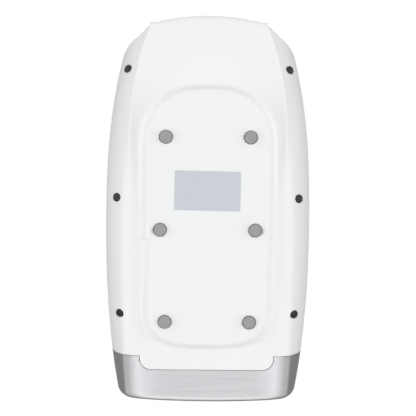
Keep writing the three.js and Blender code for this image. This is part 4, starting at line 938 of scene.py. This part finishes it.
def around(outline):
    """Even steps along a closed outline of (x, z), starting below its middle."""
    outline = np.array(outline)
    after = np.roll(outline, -1, 0)
    low = outline[:, 1] < outline[:, 1].mean()
    crossing = int(np.where(low & (outline[:, 0] <= 0) & (after[:, 0] > 0))[0][0])
    a, b = outline[crossing], after[crossing]
    start = a + (b - a) * (-a[0] / (b[0] - a[0]))
    closed = np.vstack([[start], np.roll(outline, -crossing - 1, 0), [start]])
    run = np.append(0, np.cumsum(np.linalg.norm(np.diff(closed, axis=0), axis=1)))
    steps = np.arange(AROUND) / AROUND * run[-1]
    return [np.interp(steps, run, closed[:, 0]), np.interp(steps, run, closed[:, 1])]


def slanted(outline, setback):
    """An outline of (x, z), laid in the leaning plane of the mouth."""
    x, z = around(outline)
    return np.stack([x, mouth_plane(z, setback), z], 1)


def housing_loop(inset, setback):
    """The housing's inside, drawn in, where the leaning plane of the mouth crosses it."""
    section = settled(RING_GUESS, "whole", inset, lambda x, z: mouth_plane(z, setback))[0]
    return slanted(np.vstack([section, section[-2:0:-1] * [-1, 1]]), setback)


def space_outline(half, low, high, radius):
    """A rounded rectangle of (x, z) between two heights."""
    return rounded(half, (high - low) / 2, radius, (0, (low + high) / 2), CORNER_STEPS)


# Half width, floor, roof and corner radius where the funnel starts and ends
ring_size = np.array([
    limb_half(-HALF_LENGTH) - RING_FIT - RING_RIM, SOLE + RING_FIT + RING_RIM,
    roof_height(mouth_plane(LIMB_HEIGHT, 0)) - RING_FIT - 2 * RING_RIM, FUNNEL_RADIUS])
liner_size = np.array([
    limb_half(mouth_plane(LINER_LOW, RING_SETBACK + RING_DEPTH)) - LINER_INSET - LINER_WALL,
    LINER_LOW + LINER_WALL, LINER_HIGH - LINER_WALL, LINER_RADIUS - LINER_WALL])


def funnel_loop(share, out, setback):
    """A loop of the funnel, let out by an amount: at the mouth at 0, at the pocket at 1."""
    ease = FUNNEL_START + (1 - FUNNEL_START) * share
    size = ring_size + (liner_size - ring_size) * ease + [out, -out, out, out]
    return slanted(space_outline(*size), RING_SETBACK + setback)


def across_plane(outer, inner, setback):
    """Loops between two others, all in the leaning plane of the mouth."""
    loops = []
    for step in range(1, FACE_STEPS):
        loop = outer + (inner - outer) * step / FACE_STEPS
        loop[:, 1] = mouth_plane(loop[:, 2], RING_SETBACK + setback)
        loops.append(loop)
    return loops


ring = [housing_loop(RING_FIT + inward, RING_SETBACK + back) for inward, back in RING_EDGE]
ring += across_plane(ring[-1], funnel_loop(0, RING_LIP[0][1] * MM, 0), 0)
ring += [funnel_loop(share, out * MM, back * MM) for share, out, back in RING_LIP]
for share in np.arange(1, FUNNEL_STEPS + 1) / FUNNEL_STEPS:
    ring.append(funnel_loop(share, 0, FUNNEL_FRONT + share * (RING_DEPTH - FUNNEL_FRONT)))
for share in np.arange(BACK_STEPS, -1, -1) / BACK_STEPS:
    ring.append(funnel_loop(share, FUNNEL_WALL, FUNNEL_BACK + share * (RING_DEPTH - FUNNEL_BACK)))
band = [housing_loop(RING_FIT + RING_BAND, RING_SETBACK + back) for back in (BAND_BACK, RING_DEPTH)]
ring += across_plane(ring[-1], band[0], BAND_FRONT) + band
placed(stacked("mouth_trim", ring, True), "housing", "mouth_trim", "mouth_ring", angle=50)


# Padded pocket for the hand
POCKET_STEPS = 56
POCKET_SKIN = 0.1 * MM
POCKET_RIM = 0.15 * MM
QUILT, QUILT_SPAN, QUILT_WAVES = 0.35 * MM, 20 * MM, 55
PALM_HALF, PALM_FRONT, PALM_REAR, PALM_CORNER = 36 * MM, -65 * MM, 71 * MM, 17 * MM
PALM_BELOW, PALM_ABOVE = 5 * MM, 8 * MM
rng = np.random.default_rng(7)
soft = rng.normal(size=(8, 3))


def liner_loop(share, out):
    """A loop of the pocket: across the leaning mouth at 0, square across the tail end at 1."""
    rough = mouth_plane(LIMB_HEIGHT, LINER_SETBACK) * (1 - share) + LINER_REAR * share
    half = float(limb_half(rough)) - LINER_INSET - out
    x, z = around(space_outline(half, LINER_LOW + out, LINER_HIGH - out, LINER_RADIUS - out))
    return np.stack([x, mouth_plane(z, LINER_SETBACK) * (1 - share) + LINER_REAR * share, z], 1)


def softly(points):
    """Slight unevenness of foam-backed cloth."""
    wave = sum(np.sin(points @ (row * QUILT_WAVES) + k) for k, row in enumerate(soft)) / len(soft)
    return points - (points - points.mean(0)) * (QUILT * wave / QUILT_SPAN)[:, None] * [1, 0, 1]


shares = np.arange(POCKET_STEPS) / (POCKET_STEPS - 1)
pocket = [softly(liner_loop(1 - share, POCKET_SKIN)) for share in shares]
pocket.append(liner_loop(0, LINER_WALL / 2) - [0, POCKET_RIM, 0])
pocket += [softly(liner_loop(share, LINER_WALL - POCKET_SKIN)) for share in shares]
pocket = stacked("hand_pocket", pocket, True)
outline = rounded(PALM_HALF, (PALM_REAR - PALM_FRONT) / 2, PALM_CORNER,
                  (0, (PALM_REAR + PALM_FRONT) / 2), 12)
opening = prism("palm_opening", outline, LINER_LOW - PALM_BELOW, LINER_LOW + PALM_ABOVE)
combine(pocket, [opening], "DIFFERENCE")
placed(pocket, "housing", "liner", "hand_liner", angle=50)


# Air bags above the pocket
BAG_THICKNESS = 6 * MM
BAG_DRAW = 2.8 * MM
BAG_WELD = 3 * MM
BAG_CROWN = 17 * MM
BAG_CORNER, BAG_LEAST = 10 * MM, 2 * MM
BAG_FILM = 0.3 * MM
BAG_STEPS = 9
PUCKER, PUCKER_STEPS = 0.05, 2.5
BARB = ((0.8, 2.2), (1, 1.9), (0.75, 0))  # shares of the radius, and millimetres from the end


def air_bag(name, node, along_y):
    """A bag welded flat round its edge, with puckered sides, a crowned middle and its nipple."""
    points = np.array([v.co for v in frame["nodes"][node].data.vertices])
    points += np.array(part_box(node)[0]) - points.min(0)
    base = points[:, 2].min()
    foot = points[points[:, 2] < base + BAG_FILM]
    low, high = foot.min(0) - BAG_DRAW, foot.max(0) + BAG_DRAW
    centre, half = (low[:2] + high[:2]) / 2, (high[:2] - low[:2]) / 2
    thickness = points[:, 2].max() - base if along_y else BAG_THICKNESS
    middle = base + thickness / 2

    def ring(inset, rise, pucker):
        corner = max(BAG_CORNER - inset, BAG_LEAST)
        flat = np.array(rounded(half[0] - inset, half[1] - inset, corner, centre, 24))
        ripple = 1 + pucker * np.sin(np.arange(len(flat)) * pi / PUCKER_STEPS)
        return np.c_[flat, middle + rise * ripple]

    rings = [(0, BAG_FILM, 0), (BAG_WELD, BAG_FILM, 0)]
    for step in range(1, BAG_STEPS + 1):
        sine, cosine = (f(pi / 2 * step / BAG_STEPS) for f in (sin, cos))
        rings.append((BAG_WELD + BAG_CROWN * (1 - cosine),
                      BAG_FILM + (thickness / 2 - BAG_FILM) * sine, PUCKER * cosine))
    loops = [ring(inset, rise, pucker) for inset, rise, pucker in rings[::-1]]
    loops += [ring(inset, -rise, pucker) for inset, rise, pucker in rings]
    bag = stacked(name, loops)
    axis, edge, start = (1, high[1], high[1] - 2 * BAG_WELD) if along_y else (
        2, base + thickness, middle)
    tube = points[points[:, axis] > edge + BAG_FILM]
    radius, end = np.ptp(tube[:, 0]) / 2, tube[:, axis].max()
    place = (tube.min(0) + tube.max(0)) / 2
    place[1:] = (0, middle) if along_y else (place[1], 0)
    barb = [(0, start), (radius * BARB[0][0], start)]
    barb += [(radius * share, end - short * MM) for share, short in BARB] + [(0, end)]
    nipple = turned("nipple", barb, place, 24, "xyz"[axis])
    placed(combine(bag, [nipple], "UNION"), "housing", "airbag", node)


air_bag("bag_palm", "palm_airbag", False)
air_bag("bag_finger", "finger_airbag", True)


# Control panel, buttons and light guide. The keys' profiles are how far inside the radius and
# below the top, in millimetres, and then shares of the radius
PANEL_HALF = 17 * MM
PANEL_REACH = 31 * MM
PANEL_THICKNESS = 2.1 * MM
PANEL_SINK = 0.3 * MM
PANEL_BEVEL = 0.25 * MM
LEDGE = 2 * MM
GUIDE_HALF = (0.9 * MM + CLEARANCE / 3, 5 * MM + CLEARANCE / 3)
PLATE_SHARES = [0.02, 0.15, 0.3, 0.45, 0.6, 0.75, 0.88]
BUTTONS = ("heat_button", "power_button", "intensity_button")
BUTTON_RADIUS = 7 * MM
STEM_RADIUS, FLANGE, FLANGE_ROOM = 2 * MM, 1.2 * MM, 0.9 * MM
KEY_RIM = ((0, 0.7), (0.1, 0.35), (0.35, 0.08), (0.75, 0), (1.6, 0.08))
KEY_DISH = ((0.4, 0.3), (0, 0.36))


def panel_outline(margin):
    """The panel in plan, let out by a margin."""
    return rounded(PANEL_HALF + margin, PANEL_REACH + margin, PANEL_HALF + margin,
                   (0, CROWN_Y), 24)


def roof_at(x, y):
    """Height of the roof at a place."""
    across = np.clip(np.abs(x) / limb_half(y), 0, 1)
    up = (1 - across ** ROOF_POWER) ** (1 / ROOF_POWER)
    return LIMB_HEIGHT + (roof_height(y) - LIMB_HEIGHT) * up


def roofed(name, outline, sink, thickness, bevel):
    """A plate that follows the roof: an outline in plan, sunk by an amount, its rim rounded."""
    outline = np.array(outline)
    middle = outline.mean(0)
    inward = unit(outline - middle)
    loops = []

    def loop(flat, depth):
        loops.append(np.c_[flat, roof_at(flat[:, 0], flat[:, 1]) - depth])

    for share in PLATE_SHARES:
        loop(middle + (outline - middle) * share, sink)
    for angle in np.radians((0, 30, 60, 90)):
        loop(outline - inward * bevel * (1 - sin(angle)),
             sink + bevel * (1 - cos(angle)))
    for share in [1] + PLATE_SHARES[::-1]:
        loop(middle + (outline - middle) * share, sink + thickness)
    return stacked(name, loops)


sunk = PANEL_SINK + PANEL_THICKNESS + CLEARANCE
seat = roofed("panel_seat", panel_outline(CLEARANCE), -BEYOND, BEYOND + sunk, 0)
window = prism("window", panel_outline(-LEDGE), LIMB_HEIGHT, CROWN + BEYOND)
combine(upper, [seat, window], "DIFFERENCE")
placed(upper, "housing", "white_shell", "upper_shell")

plate = roofed("key_panel", panel_outline(0), PANEL_SINK, PANEL_THICKNESS, PANEL_BEVEL)
holes = [upright("hole", BUTTON_RADIUS + CLEARANCE, LIMB_HEIGHT, CROWN + BEYOND, spot(node), 64)
         for node in BUTTONS]
outline = rounded(*GUIDE_HALF, GUIDE_HALF[0], spot("light_guide"), 6)
holes.append(prism("slot", outline, LIMB_HEIGHT, CROWN + BEYOND))
combine(plate, holes, "DIFFERENCE")
placed(plate, "housing", "panel", "control_panel")

for node in BUTTONS:
    low, top = (corner.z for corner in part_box(node))
    wide = radius_of(node)
    under = float(roof_at(0, spot(node)[1])) - PANEL_SINK - PANEL_THICKNESS - FLANGE_ROOM
    profile = [(0, low), (STEM_RADIUS, low), (STEM_RADIUS, under - FLANGE),
               (wide, under - FLANGE), (wide, under), (BUTTON_RADIUS, under)]
    profile += [(BUTTON_RADIUS - inward * MM, top - fall * MM) for inward, fall in KEY_RIM]
    profile += [(BUTTON_RADIUS * share, top - fall * MM) for share, fall in KEY_DISH]
    key = turned("key_" + node.split("_")[0], profile, spot(node), 64)
    placed(key, node, "button", node)


# Symbols on the keys, in units of their size: a broken ring and a stroke, waves, and bars
ICON_SIZE = 1.9 * MM
ICON_LINE = 0.42 * MM
ICON_LOW, ICON_HIGH = 0.6 * MM, 0.25 * MM
turns = np.radians(np.linspace(-238, 58, 40))
rise = np.linspace(-1, 1, 16)
ICONS = {
    "power_button": [np.stack([np.cos(turns), np.sin(turns)], 1), np.array([[0, 0.25], [0, 1.25]])],
    "heat_button": [np.stack([at + 0.22 * np.sin(rise * 3), rise], 1) for at in (-0.85, 0, 0.85)],
    "intensity_button": [np.array([[at, -1], [at, top]])
                         for at, top in ((-0.9, -0.3), (0, 0.35), (0.9, 1))],
}


def strip(path, low, high):
    """A raised line along a path in plan."""
    along = unit(np.gradient(path, axis=0))
    across = np.stack([along[:, 1], -along[:, 0]], 1) * ICON_LINE / 2
    return prism("strip", np.vstack([path + across, (path - across)[::-1]]), low, high)


for node, paths in ICONS.items():
    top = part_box(node)[1].z
    lines = [strip(path * ICON_SIZE + spot(node)[:2], top - ICON_LOW, top - ICON_HIGH)
             for path in paths]
    icon = joined("icon_" + node.split("_")[0], [line.data for line in lines])
    placed(icon, node, "button", finish="symbol")
    for line in lines:
        bpy.data.objects.remove(line)


# Stage, lights and camera
LIGHT_BELOW, LIGHT_BESIDE, LIGHT_FACING = 0.34, 3.4, 1.42
LIGHT_ABOVE, LIGHT_AHEAD = 0.03, 1.0
HORIZON_LOW, HORIZON_HIGH = -0.2, 0.1
SUN_POWER, SUN_SPREAD = 2.7, 20
CARDS = {  # a corner, two edges and a strength
    "ceiling": ((-3, -3, 0.2), (6, 0, 0), (0, 6, 0), 0.13),
    "lens_card": ((-0.14, -0.05, -1.2), (0.28, 0, 0), (0, 0.8, 0), 0.45),
    "left_card": ((-0.5, -1.5, -0.42), (0, 3, 0), (0, 0, 0.62), 0.42),
    "right_card": ((0.5, -1.5, -0.42), (0, 3, 0), (0, 0, 0.62), 0.42),
}
VIEW_DISTANCE, VIEW_SHIFT, VIEW_ROLL = 0.7, 0.15 * MM, -0.49
LENS, SENSOR, NEAREST = 100.6, 36, 0.01


def lit_world():
    """White to the camera and in reflections; a plain soft light on the object, dimmer above."""
    world = bpy.data.worlds.new("studio")
    bpy.context.scene.world = world
    world.use_nodes = True
    tree = world.node_tree
    seen = added(tree, "LightPath", "Is Camera Ray")
    for kind in ("Is Glossy Ray", "Is Transmission Ray"):
        seen = computed(tree, "MAXIMUM", seen, added(tree, "LightPath", kind))
    place = added(tree, "TexCoord", "Generated")
    x, y, z = (added(tree, "SeparateXYZ", axis, {"Vector": place}) for axis in "XYZ")

    def raised(value, times):
        """The value squared a number of times."""
        for _ in range(times):
            value = computed(tree, "MULTIPLY", value, value)
        return value

    beside = ranged(tree, raised(x, 2), LIGHT_BELOW, LIGHT_BESIDE, 0, 1)
    facing = ranged(tree, raised(z, 3), 0, LIGHT_FACING, 0, 1)
    light = added(tree, "Mix", "Result", {
        "Factor": ranged(tree, z, 0, 1, HORIZON_LOW, HORIZON_HIGH),
        "A": computed(tree, "ADD", beside, facing),
        "B": ranged(tree, raised(y, 2), LIGHT_ABOVE, LIGHT_AHEAD, 0, 1)})
    feed(tree, tree.nodes["Background"], {
        "Strength": added(tree, "Mix", "Result", {"Factor": seen, "A": light, "B": 1}),
        "Color": (1, 1, 1, 1)})


def stage_sheet(name, corner, along, across, material):
    """A flat piece of the stage: a corner and its two edges."""
    corner, along, across = (np.array(v, float) for v in (corner, along, across))
    corners = [corner, corner + along, corner + along + across, corner + across]
    piece = made(name, corners, [[0, 1, 2, 3]])
    piece.data.materials.append(material)
    return piece


lit_world()
paper = finish_of("floor_paper", (0.93, 0.93, 0.93), 0.8, {}, 0.004)
tree = paper.node_tree
feed(tree, tree.nodes["Material Output"], {"Surface": added(tree, "MixShader", "Shader", {
    "Fac": added(tree, "NewGeometry", "Backfacing"),
    1: tree.nodes["Principled BSDF"].outputs["BSDF"],
    2: added(tree, "BsdfTransparent", "BSDF")})})
floor = stage_sheet("floor", (-6, -6, 0), (12, 0, 0), (0, 12, 0), paper)
floor.visible_diffuse = floor.visible_glossy = False
floor.visible_transmission = floor.visible_shadow = False
for name, (corner, along, across, strength) in CARDS.items():
    glow, tree, output = looks(name, "Material Output")
    shine = added(tree, "Emission", "Emission", {"Strength": strength})
    feed(tree, output, {"Surface": shine})
    card = stage_sheet(name, corner, along, across, glow)
    card.visible_camera = card.visible_diffuse = False
    card.visible_shadow = card.visible_transmission = False

lamp = bpy.data.lights.new("overhead", "SUN")
lamp.energy, lamp.angle = SUN_POWER, radians(SUN_SPREAD)
linked("overhead", lamp)

camera = bpy.data.cameras.new("camera")
camera.lens, camera.sensor_width, camera.clip_start = LENS, SENSOR, NEAREST
eye = linked("camera", camera)
eye.location = (VIEW_SHIFT, 0, -VIEW_DISTANCE)
eye.rotation_euler = (pi, 0, radians(VIEW_ROLL))
bpy.context.scene.camera = eye
bpy.context.scene.view_settings.view_transform = "Standard"
